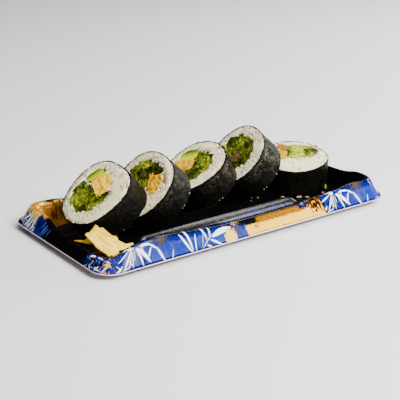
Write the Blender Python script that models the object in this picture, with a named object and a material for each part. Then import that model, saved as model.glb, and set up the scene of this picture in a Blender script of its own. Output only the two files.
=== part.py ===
"""Five thick slices of futomaki and some pickled ginger in a printed takeaway tray.

The named sizes are in millimetres and the meshes in metres. +X runs along the tray, +Y to its back and
+Z up. The origin is under the middle of the tray, on the surface that it stands on. The front of the
tray is the long side at -Y.
"""
import math
import random

import bmesh
import bpy
from mathutils import Matrix, Vector

MM = 0.001
GAP = 0.3

# The tray is one formed sheet. Heights named "rise" are measured up from the rim's outer edge.
TRAY_LENGTH = 240.0
TRAY_WIDTH = 115.0
TRAY_CORNER = 13.9
SHEET = 1.2
EDGE_ABOVE_FLOOR = 3.3
CREST_ROUND = 1.6
FLOOR_INSET_LONG = 24.0
FLOOR_INSET_SHORT = 12.0
FLOOR_CORNER = 12.0
LEDGE_BEAD_INSET = 17.6
LEDGE_BEAD_RISE = 11.0
LEDGE_FROM = -72.0
LEDGE_TO = 46.0
LEDGE_FADE = 12.0
# The rim waves: it is low at the front left corner and stands up as an ear at the front right one, and
# the back is the same turned by half a turn. Each pair is a place along the side and a height there.
LONG_RISE = ((-107, 6.0), (-95, 10.6), (-76, 13.2), (-45, 10.4), (-18, 8.9), (60, 8.9), (80, 9.8), (96, 12.0))
LONG_INSET = ((62, 9.4), (90, 12.2), (104, 13.0))
SHORT_RISE = ((-45, 6.0), (-30, 6.6), (2, 6.8), (18, 8.9), (34, 12.0))
SHORT_INSET = ((-45, 6.4), (4, 6.4), (22, 9.0), (32, 9.8))
CORNER_STEPS = 8
LONG_STEPS = 22
SHORT_STEPS = 9

# Every roll slice has the same thickness. Its own frame has +Z out of the cut face that shows, and the
# body lies below it, from 0 to -SLICE.
SLICE = 19.0
NORI = 0.6
RIM_POINTS = 36
RICE_RINGS = (0.86, 0.66, 0.45, 0.22)
RICE_CROWN = 0.5
RICE_BUMP = 0.45
FILLING_POINTS = 22
FRILL_POINTS = 44
FRILL = 0.6

# Where each slice stands: x and y of the middle of its cut face, how far that face looks up from level,
# which way it looks (degrees from -X towards -Y), its radius, and the lobes of its outline, each as
# count, size and direction.
ROLLS = {
    1: {"x": -86.9, "y": 5.2, "lean": 51.7, "heading": 2.0, "radius": 25.6, "lobes": ((3, 0.8, 71), (4, 0.6, 168))},
    2: {"x": -53.8, "y": -1.3, "lean": 43.4, "heading": 2.2, "radius": 25.3, "lobes": ((3, 0.4, 60), (4, 0.4, 150))},
    3: {"x": -5.9, "y": 10.9, "lean": 58.2, "heading": -8.1, "radius": 25.2, "lobes": ((2, 0.3, -23), (3, 0.5, 85))},
    4: {"x": 31.4, "y": 7.1, "lean": 44.5, "heading": -7.1, "radius": 25.3, "lobes": ((3, 0.4, 41), (4, 0.2, 128))},
    5: {"x": 82.6, "y": 4.4, "lean": 83.8, "heading": 48.2, "radius": 25.0, "lobes": ((2, 0.6, -150), (4, 0.5, 4))},
}

# The fillings run through their slice. Each has an outline on the cut face, in the slice's own frame, and
# how far it stands proud. A filling is cut back from those before it in the same roll.
FILLINGS = {
    1: (
        ("avocado", 0.1, ((-16.3, 5.6), (-15.2, 12.0), (-11.5, 16.6), (-5.0, 15.6), (-6.6, 9.5), (-8.2, 4.8))),
        ("chicken", 0.5, ((-7.4, 3.6), (-6.2, 9.8), (-3.2, 15.2), (5.4, 12.8), (7.8, 7.6), (8.0, 1.6), (0.4, -1.5))),
        ("lettuce", 0.9, ((-16.8, 3.0), (-17.6, -6.6), (-10.8, -14.8), (5.2, -15.0), (10.8, -8.0), (12.4, 3.8),
                          (4.0, 3.0), (-6.0, 3.0))),
    ),
    2: (
        ("chicken", 0.5, ((1.4, 7.4), (11.8, 11.4), (16.0, 7.0), (17.2, 1.2), (13.2, -4.6), (3.4, -1.4))),
        ("lettuce", 0.8, ((-17.6, 4.2), (-14.8, 12.2), (-7.0, 16.8), (3.2, 17.0), (10.0, 12.4), (7.6, 1.4),
                          (-3.4, -6.4), (-12.6, -4.6))),
    ),
    3: (
        ("avocado", 0.1, ((-20.2, 4.2), (-18.2, 9.4), (-10.4, 13.4), (-5.2, 8.2), (-9.6, 3.4), (-16.0, 0.2))),
        ("chicken", 0.5, ((-17.0, -3.4), (-12.6, 1.8), (-4.4, 6.8), (1.2, 0.6), (-1.4, -5.2), (-10.0, -7.4))),
        ("lettuce", 0.9, ((-8.6, 13.4), (0.2, 16.2), (8.6, 14.4), (13.6, 8.6), (15.0, -1.2), (12.2, -8.2),
                          (3.0, -8.6), (-3.0, 0.0))),
    ),
    4: (
        ("chicken", 0.3, ((-7.2, 1.8), (-0.6, 4.6), (6.6, 0.8), (7.0, -2.8), (0.8, -4.6), (-6.0, -2.2))),
        ("lettuce", 0.9, ((-18.0, 5.6), (-12.8, 14.0), (-4.0, 16.6), (5.0, 14.8), (12.2, 8.2), (13.6, -2.6),
                          (5.0, -8.6), (-9.0, -8.0))),
    ),
    5: (
        ("chicken", 0.6, ((-11.8, 12.6), (-11.2, 18.4), (-8.4, 20.4), (-5.4, 19.2), (-5.2, 12.8))),
        ("omelette", 0.4, ((-10.2, 10.8), (-4.6, 11.2), (-3.6, 3.0), (-4.0, -4.6), (-9.4, -5.2), (-10.4, 2.0))),
        ("lettuce", 0.8, ((-6.8, 17.4), (5.0, 20.0), (15.8, 15.2), (17.4, 8.0), (14.4, 1.8), (5.0, -2.4),
                          (-6.0, -2.6), (-7.4, 8.0))),
    ),
}

# Each ginger slice is a thin wavy sheet between four corners, whose heights are above the tray's floor, with
# its thickness and how high its waves are. They lie on one another in the front left corner.
GINGER = {
    1: {"corners": ((-110.4, -20.0, 16.9), (-99.6, -15.0, 19.4), (-82.4, -37.0, 10.6), (-106.4, -42.0, 9.6)),
        "thick": 2.2, "wave": 0.5},
    2: {"corners": ((-110.4, -8.4, 8.6), (-101.0, -12.0, 9.6), (-94.0, -27.5, 9.8), (-104.5, -29.0, 10.9)),
        "thick": 1.6, "wave": 0.3},
    3: {"corners": ((-107.4, -24.0, 7.0), (-98.6, -22.6, 6.0), (-98.0, -38.6, 6.4), (-104.8, -39.8, 9.0)),
        "thick": 1.6, "wave": 0.3},
    4: {"corners": ((-104.0, -15.6, 4.6), (-90.6, -17.6, 1.9), (-88.6, -32.0, 1.9), (-104.0, -34.0, 4.6)),
        "thick": 1.8, "wave": 0.2},
}
GINGER_COLUMNS = 8
GINGER_ROWS = 5
GINGER_ROUND = 0.12

COLOURS = {
    "tray": ((0.02, 0.02, 0.023), 0.3),
    "rice": ((0.82, 0.80, 0.75), 0.55),
    "nori": ((0.028, 0.032, 0.026), 0.5),
    "lettuce": ((0.25, 0.38, 0.06), 0.5),
    "avocado": ((0.55, 0.65, 0.18), 0.45),
    "chicken": ((0.78, 0.58, 0.30), 0.6),
    "omelette": ((0.86, 0.72, 0.38), 0.6),
    "ginger": ((0.88, 0.74, 0.45), 0.4),
}


def clear_scene():
    for item in list(bpy.data.objects):
        bpy.data.objects.remove(item, do_unlink=True)


def material(kind):
    """The one material of each kind of food, and of the tray."""
    found = bpy.data.materials.get(kind)
    if found:
        return found
    colour, roughness = COLOURS[kind]
    made = bpy.data.materials.new(kind)
    made.use_nodes = True
    shader = made.node_tree.nodes["Principled BSDF"]
    shader.inputs["Base Color"].default_value = (*colour, 1.0)
    shader.inputs["Roughness"].default_value = roughness
    shader.inputs["Metallic"].default_value = 0.0
    return made


def add_object(name, mesh, kind, collection=None):
    """An object from a bmesh, whose faces are first turned outwards."""
    bmesh.ops.recalc_face_normals(mesh, faces=mesh.faces[:])
    data = bpy.data.meshes.new(name)
    mesh.to_mesh(data)
    mesh.free()
    data.materials.append(material(kind))
    made = bpy.data.objects.new(name, data)
    (collection or bpy.context.scene.collection).objects.link(made)
    return made


def wave(points, place):
    """A smooth curve through named heights, level beyond its ends."""
    if place <= points[0][0]:
        return points[0][1]
    if place >= points[-1][0]:
        return points[-1][1]
    slopes = [0.0]
    for before, after in zip(points, points[2:]):
        slopes.append((after[1] - before[1]) / (after[0] - before[0]))
    slopes.append(0.0)
    index = max(i for i in range(len(points) - 1) if points[i][0] <= place)
    span = points[index + 1][0] - points[index][0]
    t = (place - points[index][0]) / span
    start, end = points[index][1], points[index + 1][1]
    rise_in = span * slopes[index]
    rise_out = span * slopes[index + 1]
    return (start * (2 * t ** 3 - 3 * t ** 2 + 1) + rise_in * (t ** 3 - 2 * t ** 2 + t)
            + end * (3 * t ** 2 - 2 * t ** 3) + rise_out * (t ** 3 - t ** 2))


def mix(a, b, share):
    return a + (b - a) * share


def ease(t):
    t = min(max(t, 0.0), 1.0)
    return t * t * (3.0 - 2.0 * t)


def closed_curve(points, count):
    """Evenly counted points on a smooth closed curve through the given ones."""
    result = []
    for step in range(count):
        whole = step * len(points) / count
        index = int(whole)
        t = whole - index
        a, b, c, d = (Vector(points[(index + k) % len(points)]) for k in (-1, 0, 1, 2))
        result.append(0.5 * (2 * b + (c - a) * t + (2 * a - 5 * b + 4 * c - d) * t * t
                             + (3 * b - a - 3 * c + d) * t ** 3))
    return result


def grown(outline, distance):
    """The outline moved outwards by a distance, point by point."""
    count = len(outline)
    turn = sum(outline[i - 1].x * outline[i].y - outline[i].x * outline[i - 1].y for i in range(count))
    side = 1.0 if turn > 0 else -1.0
    result = []
    for i in range(count):
        along = (outline[(i + 1) % count] - outline[i - 1]).normalized()
        result.append(outline[i] + Vector((along.y, -along.x)) * side * distance)
    return result


def join_loops(mesh, lower, upper):
    count = len(lower)
    for i in range(count):
        mesh.faces.new((lower[i - 1], lower[i], upper[i], upper[i - 1]))


def corner_arc(centre, radius, first_angle):
    """The points of a quarter circle, without its last one."""
    arc = []
    for step in range(CORNER_STEPS):
        angle = math.radians(first_angle + 90 * step / CORNER_STEPS)
        arc.append(centre + radius * Vector((math.cos(angle), math.sin(angle))))
    return arc


def tray_loop(inset_long, inset_short, radius, height):
    """One loop of the tray: a rounded rectangle whose insets and height change along its sides.

    The front is worked out from its low left corner to its ear at the right, then the right side. The
    rest is the same, turned by half a turn. The short side's places count up towards the ear.
    """
    half_x, half_y = TRAY_LENGTH / 2, TRAY_WIDTH / 2
    left = -half_x + inset_short(-half_y) + radius
    right = half_x - inset_short(half_y) - radius
    low = -half_y + inset_long(-half_x) + radius
    ear = half_y - inset_long(half_x) - radius
    points = []
    for point in corner_arc(Vector((left, low)), radius, 180):
        points.append((point, height("low", point.x, point.y)))
    for step in range(LONG_STEPS):
        x = mix(left, right, step / LONG_STEPS)
        points.append((Vector((x, -half_y + inset_long(x))), height("long", x, -half_y)))
    for point in corner_arc(Vector((right, -ear)), radius, 270):
        points.append((point, height("ear", point.x, -point.y)))
    for step in range(SHORT_STEPS):
        y = mix(ear, low, step / SHORT_STEPS)
        points.append((Vector((half_x - inset_short(y), -y)), height("short", half_x, y)))
    loop = [Vector((p.x, p.y, z)) for p, z in points]
    loop += [Vector((-p.x, -p.y, z)) for p, z in points]
    return [p * MM for p in loop]


def rise_at(part, x, y):
    """How high the rim's crest stands above its outer edge."""
    along, across = wave(LONG_RISE, x), wave(SHORT_RISE, y)
    heights = {
        "long": along,
        "short": across,
        "low": along + across - SHORT_RISE[0][1],
        "ear": along + across - SHORT_RISE[-1][1],
    }
    return heights[part]


def ledge_at(part, x):
    """1 where the long side has its ledge inside the crest, fading to 0 at both ends of it."""
    if part != "long":
        return 0.0
    return ease((x - LEDGE_FROM) / LEDGE_FADE + 0.5) * ease((LEDGE_TO - x) / LEDGE_FADE + 0.5)


def tray_loops():
    """The tray's upper face, from the rim's outer edge over the crest and the ledge to the floor."""
    edge_height = SHEET + EDGE_ABOVE_FLOOR

    def crest_short(y):
        return wave(SHORT_INSET, y)

    def crest_long(x):
        return wave(LONG_INSET, x)

    def rim(share, height_share, drop=0.0, shift=0.0):
        return tray_loop(lambda x: crest_long(x) * share + shift, lambda y: crest_short(y) * share + shift,
                         TRAY_CORNER,
                         lambda part, x, y: edge_height + rise_at(part, x, y) * height_share - drop)

    def ledge(plain_shift, plain_drop, bead_shift, bead_drop):
        def height(part, x, y):
            plain = rise_at(part, x, y) - plain_drop
            return edge_height + mix(plain, LEDGE_BEAD_RISE - bead_drop, ledge_at(part, x))
        return tray_loop(lambda x: mix(crest_long(x) + plain_shift, LEDGE_BEAD_INSET + bead_shift,
                                       ledge_at("long", x)),
                         lambda y: crest_short(y) + plain_shift * 0.5, TRAY_CORNER, height)

    def floor(inset_less, height):
        return tray_loop(lambda x: FLOOR_INSET_LONG - inset_less, lambda y: FLOOR_INSET_SHORT - inset_less * 0.5,
                         FLOOR_CORNER, lambda part, x, y: height)

    return [
        rim(0.0, 0.0),
        rim(0.5, 0.54),
        rim(1.0, 1.0, 0.6, -CREST_ROUND),
        rim(1.0, 1.0),
        rim(1.0, 1.0, 0.5, CREST_ROUND),
        ledge(3.0, 1.8, -2.6, 1.4),
        ledge(4.0, 2.8, 0.0, 0.0),
        ledge(5.0, 4.0, 1.6, 0.9),
        floor(2.2, SHEET + 1.5),
        floor(0.0, SHEET),
    ]


def make_tray():
    mesh = bmesh.new()
    loops = [[mesh.verts.new(p) for p in loop] for loop in tray_loops()]
    for outer, inner in zip(loops, loops[1:]):
        join_loops(mesh, outer, inner)
    floor = mesh.faces.new(loops[-1])
    bmesh.ops.recalc_face_normals(mesh, faces=mesh.faces[:])
    if floor.normal.z < 0:
        bmesh.ops.reverse_faces(mesh, faces=mesh.faces[:])
    data = bpy.data.meshes.new("tray")
    mesh.to_mesh(data)
    mesh.free()
    data.materials.append(material("tray"))
    data.shade_smooth()
    tray = bpy.data.objects.new("tray", data)
    bpy.context.scene.collection.objects.link(tray)
    sheet = tray.modifiers.new("sheet", "SOLIDIFY")
    sheet.thickness = SHEET * MM
    sheet.offset = -1.0
    sheet.use_even_offset = True
    return tray


def roll_outline(roll, shrink, count=RIM_POINTS):
    """The slice's own outline, a circle with a few soft lobes, made smaller all round by shrink."""
    result = []
    for step in range(count):
        angle = 2 * math.pi * step / count
        radius = roll["radius"] - shrink
        for lobes, size, direction in roll["lobes"]:
            radius += size * math.cos(lobes * angle - math.radians(direction))
        result.append(Vector((radius * math.cos(angle), radius * math.sin(angle))))
    return result


def roll_frame(roll):
    """The slice's place: its cut face looks out along its lean and heading, and it rests on the floor."""
    lean, heading = math.radians(roll["lean"]), math.radians(roll["heading"])
    out = Vector((-math.cos(lean) * math.cos(heading), -math.cos(lean) * math.sin(heading), math.sin(lean)))
    across = Vector((0, 0, 1)).cross(out).normalized()
    up = out.cross(across)
    turn = Matrix((across, up, out)).transposed()
    lowest = min((turn @ Vector((p.x, p.y, z))).z for p in roll_outline(roll, 0.0) for z in (0.0, -SLICE))
    place = Vector((roll["x"], roll["y"], SHEET + GAP - lowest))
    return Matrix.Translation(place * MM) @ turn.to_4x4()


def make_nori(number, roll, frame):
    """The sheet of seaweed round the rice, as a tube open at both cut faces."""
    mesh = bmesh.new()
    outer, inner = roll_outline(roll, 0.0), roll_outline(roll, NORI)
    rows = ((outer, 0.0), (outer, -SLICE / 2), (outer, -SLICE), (inner, -SLICE), (inner, 0.0))
    loops = [[mesh.verts.new(Vector((p.x, p.y, z)) * MM) for p in outline] for outline, z in rows]
    for i in range(len(loops)):
        join_loops(mesh, loops[i - 1], loops[i])
    nori = add_object(f"nori_{number}", mesh, "nori")
    nori.matrix_world = frame
    nori.data.shade_smooth()
    nori.data.set_sharp_from_angle(angle=math.radians(40))
    return nori


def make_rice(number, roll, frame, cutters):
    """The rice, with bumps of grain size on both cut faces, cut through where the fillings run."""
    bump = random.Random(40 + number)
    mesh = bmesh.new()
    outline = roll_outline(roll, NORI + GAP)
    front = [(share, RICE_CROWN * (1.0 - share ** 2)) for share in reversed(RICE_RINGS)]
    back = [(share, -SLICE - height * 0.4) for share, height in reversed(front)]
    loops = []
    for share, z in front + [(1.0, 0.0), (1.0, -SLICE)] + back:
        rough = RICE_BUMP if share < 1.0 else 0.0
        loop = []
        for p in outline:
            side = 1.0 + bump.uniform(-0.05, 0.05) * (share < 1.0)
            height = z + bump.uniform(-rough, rough) * (1.0 if z > -SLICE / 2 else 0.5)
            loop.append(mesh.verts.new(Vector((p.x * share * side, p.y * share * side, height)) * MM))
        loops.append(loop)
    for lower, upper in zip(loops, loops[1:]):
        join_loops(mesh, lower, upper)
    ends = [mesh.faces.new(loops[0]), mesh.faces.new(loops[-1])]
    bmesh.ops.poke(mesh, faces=ends)
    bmesh.ops.triangulate(mesh, faces=mesh.faces[:])
    rice = add_object(f"rice_{number}", mesh, "rice")
    rice.matrix_world = frame
    cut_by(rice, cutters)
    return rice


def cut_by(body, cutters):
    cut = body.modifiers.new("cut", "BOOLEAN")
    cut.operation = "DIFFERENCE"
    cut.operand_type = "COLLECTION"
    cut.collection = cutters
    cut.solver = "EXACT"


def frilled(outline, number):
    """A leafy edge: the outline goes in and out along its own normal."""
    seed = random.Random(70 + number)
    phases = [seed.uniform(0, 2 * math.pi) for _ in range(2)]
    result = []
    for i, (p, further) in enumerate(zip(outline, grown(outline, 1.0))):
        angle = 2 * math.pi * i / len(outline)
        depth = FRILL * (math.sin(9 * angle + phases[0]) + 0.6 * math.sin(14 * angle + phases[1]))
        result.append(p + (further - p) * depth)
    return result


def prism(outline, top, bottom):
    mesh = bmesh.new()
    upper = [mesh.verts.new(Vector((p.x, p.y, top)) * MM) for p in outline]
    lower = [mesh.verts.new(Vector((p.x, p.y, bottom)) * MM) for p in outline]
    join_loops(mesh, lower, upper)
    mesh.faces.new(upper)
    mesh.faces.new(lower)
    return mesh


def cutter_set(number, count):
    group = bpy.data.collections.new(f"cutters_{number}_{count}")
    bpy.context.scene.collection.children.link(group)
    return group


def make_fillings(number, frame):
    """The fillings of one slice, and the cutters that hold rice and later fillings clear of them."""
    cutters = cutter_set(number, 0)
    for count, (kind, proud, points) in enumerate(FILLINGS[number]):
        leafy = kind == "lettuce"
        outline = closed_curve(points, FRILL_POINTS if leafy else FILLING_POINTS)
        if leafy:
            outline = frilled(outline, number)
        filling = add_object(f"{kind}_{number}", prism(outline, proud, -SLICE - 0.1), kind)
        filling.matrix_world = frame
        if count:
            cut_by(filling, cutters)
        later = cutter_set(number, count + 1)
        for old in cutters.objects:
            later.objects.link(old)
        cutter = add_object(f"cutter_{kind}_{number}", prism(grown(outline, GAP), 4.0, -SLICE - 4.0), kind, later)
        cutter.matrix_world = frame
        cutter.hide_render = True
        cutter.display_type = "WIRE"
        cutters = later
    return cutters


def make_ginger(number, slice_):
    """A thin wavy slice with rounded corners, both faces split into the same triangles."""
    seed = random.Random(90 + number)
    phases = [seed.uniform(0, 2 * math.pi) for _ in range(3)]
    back_left, back_right, front_right, front_left = (Vector(corner) for corner in slice_["corners"])
    mesh = bmesh.new()
    grid = []
    for column in range(GINGER_COLUMNS + 1):
        rows = []
        for row in range(GINGER_ROWS + 1):
            square_a = column / GINGER_COLUMNS * 2 - 1
            square_b = row / GINGER_ROWS * 2 - 1
            a = square_a * math.sqrt(1 - GINGER_ROUND * square_b ** 2)
            b = square_b * math.sqrt(1 - GINGER_ROUND * square_a ** 2)
            back = mix(back_left, back_right, (b + 1) / 2)
            front = mix(front_left, front_right, (b + 1) / 2)
            point = mix(back, front, (a + 1) / 2)
            ripple = math.sin(2.6 * a + phases[1]) + 0.7 * math.sin(3.4 * b + phases[2])
            point.z += SHEET + slice_["wave"] * ripple
            rows.append(point)
        grid.append(rows)
    half = Vector((0, 0, slice_["thick"] / 2))
    sides = [[[mesh.verts.new((p + half * up) * MM) for p in rows] for rows in grid] for up in (1, -1)]
    for side in sides:
        for column in range(GINGER_COLUMNS):
            for row in range(GINGER_ROWS):
                corners = (side[column][row], side[column + 1][row], side[column + 1][row + 1], side[column][row + 1])
                mesh.faces.new(corners)
    rims = []
    for side in sides:
        rim = [side[column][0] for column in range(GINGER_COLUMNS + 1)]
        rim += [side[-1][row] for row in range(1, GINGER_ROWS + 1)]
        rim += [side[column][-1] for column in range(GINGER_COLUMNS - 1, -1, -1)]
        rim += [side[0][row] for row in range(GINGER_ROWS - 1, 0, -1)]
        rims.append(rim)
    join_loops(mesh, rims[0], rims[1])
    ginger = add_object(f"ginger_{number}", mesh, "ginger")
    ginger.data.shade_smooth()
    ginger.data.set_sharp_from_angle(angle=math.radians(50))
    return ginger


def main():
    clear_scene()
    make_tray()
    for number, roll in ROLLS.items():
        frame = roll_frame(roll)
        make_nori(number, roll, frame)
        cutters = make_fillings(number, frame)
        make_rice(number, roll, frame, cutters)
    for number, slice_ in GINGER.items():
        make_ginger(number, slice_)


main()
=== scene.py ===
import math
import random

import bmesh
import bpy
import numpy as np
from mathutils import Matrix, Vector, geometry, noise
from mathutils.bvhtree import BVHTree


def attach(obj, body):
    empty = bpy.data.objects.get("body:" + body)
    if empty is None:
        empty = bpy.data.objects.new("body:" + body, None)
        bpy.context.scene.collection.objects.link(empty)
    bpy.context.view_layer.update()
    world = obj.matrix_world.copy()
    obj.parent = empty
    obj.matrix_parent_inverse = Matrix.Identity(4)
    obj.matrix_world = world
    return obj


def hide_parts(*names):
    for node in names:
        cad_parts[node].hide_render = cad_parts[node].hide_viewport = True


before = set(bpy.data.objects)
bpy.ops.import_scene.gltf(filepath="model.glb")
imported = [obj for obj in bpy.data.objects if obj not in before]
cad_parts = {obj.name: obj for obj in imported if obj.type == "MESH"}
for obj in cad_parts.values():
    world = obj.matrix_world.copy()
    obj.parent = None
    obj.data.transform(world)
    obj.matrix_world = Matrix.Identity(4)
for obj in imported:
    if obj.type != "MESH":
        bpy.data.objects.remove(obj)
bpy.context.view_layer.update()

MM = 0.001
ROLLS = (1, 2, 3, 4, 5)
# Each kind of scattered thing draws at random from its own seed, to which a slice's number is added.
RICE_SEED = 700
LETTUCE_SEED = 900
GOLDEN_SEED = 500
CRUMB_SEED = 41

# The camera stands where the photo was taken from, and looks at the tray without any shift.
CAMERA_AT = Vector((-0.46636, -0.61107, 0.31322))
CAMERA_AZIMUTH = math.radians(-37.061)
CAMERA_ELEVATION = math.radians(21.565)
CAMERA_ROLL = math.radians(0.897)
CAMERA_LENS = 108.0
# Soft boxes that all face the tray's middle: name, place, width, depth, watts and tint.
LIGHTS = (
    ("key", (0.16, -0.67, 0.66), 0.40, 0.40, 27.0, (1.0, 1.0, 1.0)),
    ("overhead", (-0.05, 0.0, 0.95), 0.7, 0.5, 4.8, (1.0, 1.0, 1.0)),
    ("high_right", (0.53, 0.23, 0.75), 0.30, 0.13, 4.2, (1.0, 0.96, 0.90)),
    ("right_rim", (0.84, 0.12, 0.42), 0.40, 0.24, 8.0, (1.0, 1.0, 1.0)),
)
STAGE_HALF = 4.0
# The room's own light is weak and a little blue.
ROOM_TINT = (0.85, 0.88, 0.92, 1.0)
ROOM_STRENGTH = 0.035

# The tray is one formed sheet. Heights named "rise" are measured up from the rim's outer edge.
TRAY_LENGTH = 240.0
TRAY_WIDTH = 115.0
TRAY_CORNER = 13.9
EAR_CORNER = 8.0
SHEET = 1.2
EDGE_ABOVE_FLOOR = 3.3
LIP = 0.9
# The cut edge is pressed thin: its share of the sheet's thickness, and how far across the print that fades.
EDGE_THIN = 0.55
THIN_REACH = 3.0
CREST_ROUND = 1.6
FLOOR_INSET_LONG = 24.0
FLOOR_INSET_SHORT = 12.0
FLOOR_CORNER = 12.0
LEDGE_BEAD_INSET = 17.6
LEDGE_BEAD_RISE = 11.0
LEDGE_FROM = -84.0
LEDGE_TO = 46.0
LEDGE_FADE = 12.0
# Each pair is a place along the side and the crest's height or inset there. The crest jogs inwards where
# the ledge ends.
LONG_RISE = (
    (-107, 6.0), (-95, 10.6), (-76, 13.2), (-45, 10.4), (-18, 8.9), (60, 8.9), (80, 9.8), (96, 12.0),
)
LONG_INSET = ((41, 9.4), (48, 11.6), (70, 11.8), (90, 12.0), (104, 11.0))
SHORT_RISE = ((-45, 6.0), (-30, 6.6), (2, 6.8), (18, 8.9), (34, 12.0))
SHORT_INSET = ((-45, 6.4), (4, 6.4), (22, 8.6), (32, 8.0))
CORNER_STEPS = 14
LONG_STEPS = 110
SHORT_STEPS = 40
ROWS_BETWEEN = 3

# The print is laid out along the rim, from the middle of each long side, and across it, from 0 at the
# outer edge to 10 at the crest. Half of the rim is this long.
HALF_RIM = 343.0
CREST = 10.0
FLOOR_ACROSS = 22.0
# The front's motif comes back this far along.
REPEAT = 168.0
MOTIF_END = 62.0

# The seaweed: the CAD tube's wall and the wrinkled one's, counts round and along it, and its wrinkles.
NORI = 0.55
NORI_DOUBLED = 0.8
NORI_ROUND = 240
NORI_ALONG = 30
NORI_WRINKLE = 0.42
NORI_RAGGED = 0.34
SEAM = {1: -58, 2: -62, 3: 139, 4: -70, 5: -120}
SEAM_STEP = 0.45
SEAM_REACH = 34
# How much painted sheen each slice's seaweed shows as grey fibres: less on the slices whose sides lie in
# shade.
DRYNESS = {1: 0.1, 2: 0.55, 3: 0.9, 4: 1.0, 5: 0.2}
# Soft rolls slump to one side: the way, in degrees on the cut face, and how far at the front and the back.
SLUMP = {1: (38, 1.4, 2.0), 3: (65, 2.8, 1.6), 4: (175, 1.8, 0.0), 5: (60, 1.2, 0.6)}

# A cooked grain, and how the grains lie on the cut faces.
GRAIN_LENGTH = 5.6
GRAIN_WIDTH = 2.35
GRAIN_THICK = 1.9
GRAIN_SIDES = 7
GRAIN_RINGS = 6
GRAIN_APART = 1.75
GRAIN_TRIES = 5200
# How grains vary in length, in width and in bend, how they tip, and how short one gets that has no room.
GRAIN_LENGTHS = (0.78, 1.1)
GRAIN_WIDTHS = (0.85, 1.1)
GRAIN_BEND = 0.18
GRAIN_TIP = 0.07
GRAIN_CROWDED = 0.62
# Grains this near to the seaweed lie along it. All are sunk in, and what still stands proud is pressed flat.
RIM_GRAINS = 1.6
GRAIN_SUNK = 0.66
GRAIN_PRESSED = 0.85
CORE_BELOW = 0.09
FACE_CROWN = 0.45
RICE_FLOOR = -1.7
# How far rice, and lettuce, grow over what is trimmed off a golden piece beside them.
RICE_FILLS = 3
LETTUCE_FILLS = 5
# The part of a cut face that holds fillings, how far down they count, and their voxel sizes.
FACE_ACROSS = (-20, 20)
FACE_UP = (-18, 22)
FILLING_FLOOR = -2.0
LEAFY_VOXELS = 0.6
FINE_VOXELS = 0.42

# Chopped lettuce leaves on the cut face: how many, and their size.
LEAF_TRIES = 900
LEAVES = 80
LEAF_LENGTH = (4.0, 9.0)
LEAF_DEPTH = (2.4, 5.0)
LEAF_THICK = 0.5
LEAF_STEPS = 16
LEAF_FRILL = 0.7
# How a shred leans, curls, bends and frills. The pairs are the least and the most.
LEAF_TILT = (0.2, 1.35)
LEAF_CURL = (0.2, 0.7)
LEAF_CURLS = (4, 10)
LEAF_BEND = 1.6
FRILL_SIZE = (0.4, 1.2)
FRILL_RATE = (0.9, 1.8)
# Where a shred's top lies, how much higher when it is dark, and how its tone varies.
LEAF_TOP = (-0.6, 0.7)
DARK_TONE = 0.3
DARK_RISE = 0.5
TONE_VARIES = 0.07
STRAY_TOP = 0.75
# How far from its middle a shred, or a grain, is tested for its own filling, as a share of its length.
LEAF_ENDS = 0.42
GRAIN_ENDS = 0.36
# Shreds that stray into the rice: slice, place, heading, length and tone.
STRAY_LEAVES = (
    (1, 9.4, 2.6, 0.75, 6.5, 0.0), (1, 12.2, 5.4, 2.2, 2.2, 0.05), (2, 8.6, 15.2, 0.6, 2.4, 0.1),
    (1, -12.6, 3.6, 0.9, 4.6, 0.15), (1, -10.2, 5.2, 0.5, 4.0, 0.3), (1, -12.0, 1.6, -0.5, 4.6, 0.5),
    (4, 3.2, -3.8, 0.3, 5.0, 0.2), (4, 4.4, -5.6, 0.9, 4.0, 0.1), (3, 5.4, 15.6, 0.4, 4.0, 0.1),
    (4, -15.5, 0.6, -0.19, 13.0, 0.75), (5, 14.6, 13.0, 0.8, 2.2, 0.0), (5, 17.0, 11.2, 0.9, 2.0, 0.1),
)


# Small helpers

def mix(a, b, share):
    return a + (b - a) * share


def toward(angle):
    return Vector((math.cos(angle), math.sin(angle)))


def ease(t):
    t = min(max(t, 0.0), 1.0)
    return t * t * (3.0 - 2.0 * t)


def wave(points, place):
    """A smooth curve through named heights, level beyond its ends."""
    if place <= points[0][0]:
        return points[0][1]
    if place >= points[-1][0]:
        return points[-1][1]
    slopes = [0.0]
    for before, after in zip(points, points[2:]):
        slopes.append((after[1] - before[1]) / (after[0] - before[0]))
    slopes.append(0.0)
    index = max(i for i in range(len(points) - 1) if points[i][0] <= place)
    span = points[index + 1][0] - points[index][0]
    t = (place - points[index][0]) / span
    rise_in = span * slopes[index]
    rise_out = span * slopes[index + 1]
    return (points[index][1] * (2 * t ** 3 - 3 * t ** 2 + 1) + rise_in * (t ** 3 - 2 * t ** 2 + t)
            + points[index + 1][1] * (3 * t ** 2 - 2 * t ** 3) + rise_out * (t ** 3 - t ** 2))


def between(a, b, c, d, t):
    """The point at t on the smooth curve from b to c."""
    return 0.5 * (2 * b + (c - a) * t + (2 * a - 5 * b + 4 * c - d) * t * t
                  + (3 * b - a - 3 * c + d) * t ** 3)


def rough(point, size, seed=0.0):
    """Smooth noise from about -1 to 1 over features of the given size, both in millimetres."""
    return noise.noise(Vector(point) / size + Vector((seed, seed * 1.7, -seed)))


def new_object(name, data):
    made = bpy.data.objects.new(name, data)
    bpy.context.scene.collection.objects.link(made)
    return made


def add_object(name, data, material, slot, nodes=(), sharp=180):
    """An object from a mesh in world metres, which rides on the one body and stands for its CAD nodes."""
    data.materials.append(material)
    data.shade_smooth()
    if sharp < 180:
        data.set_sharp_from_angle(angle=math.radians(sharp))
    piece = new_object(name, data)
    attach(piece, "root")
    if nodes:
        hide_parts(*nodes)
    return piece


def finish_piece(name, mesh, material, slot, nodes=(), sharp=180):
    data = bpy.data.meshes.new(name)
    mesh.to_mesh(data)
    mesh.free()
    return add_object(name, data, material, slot, nodes, sharp)


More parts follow.
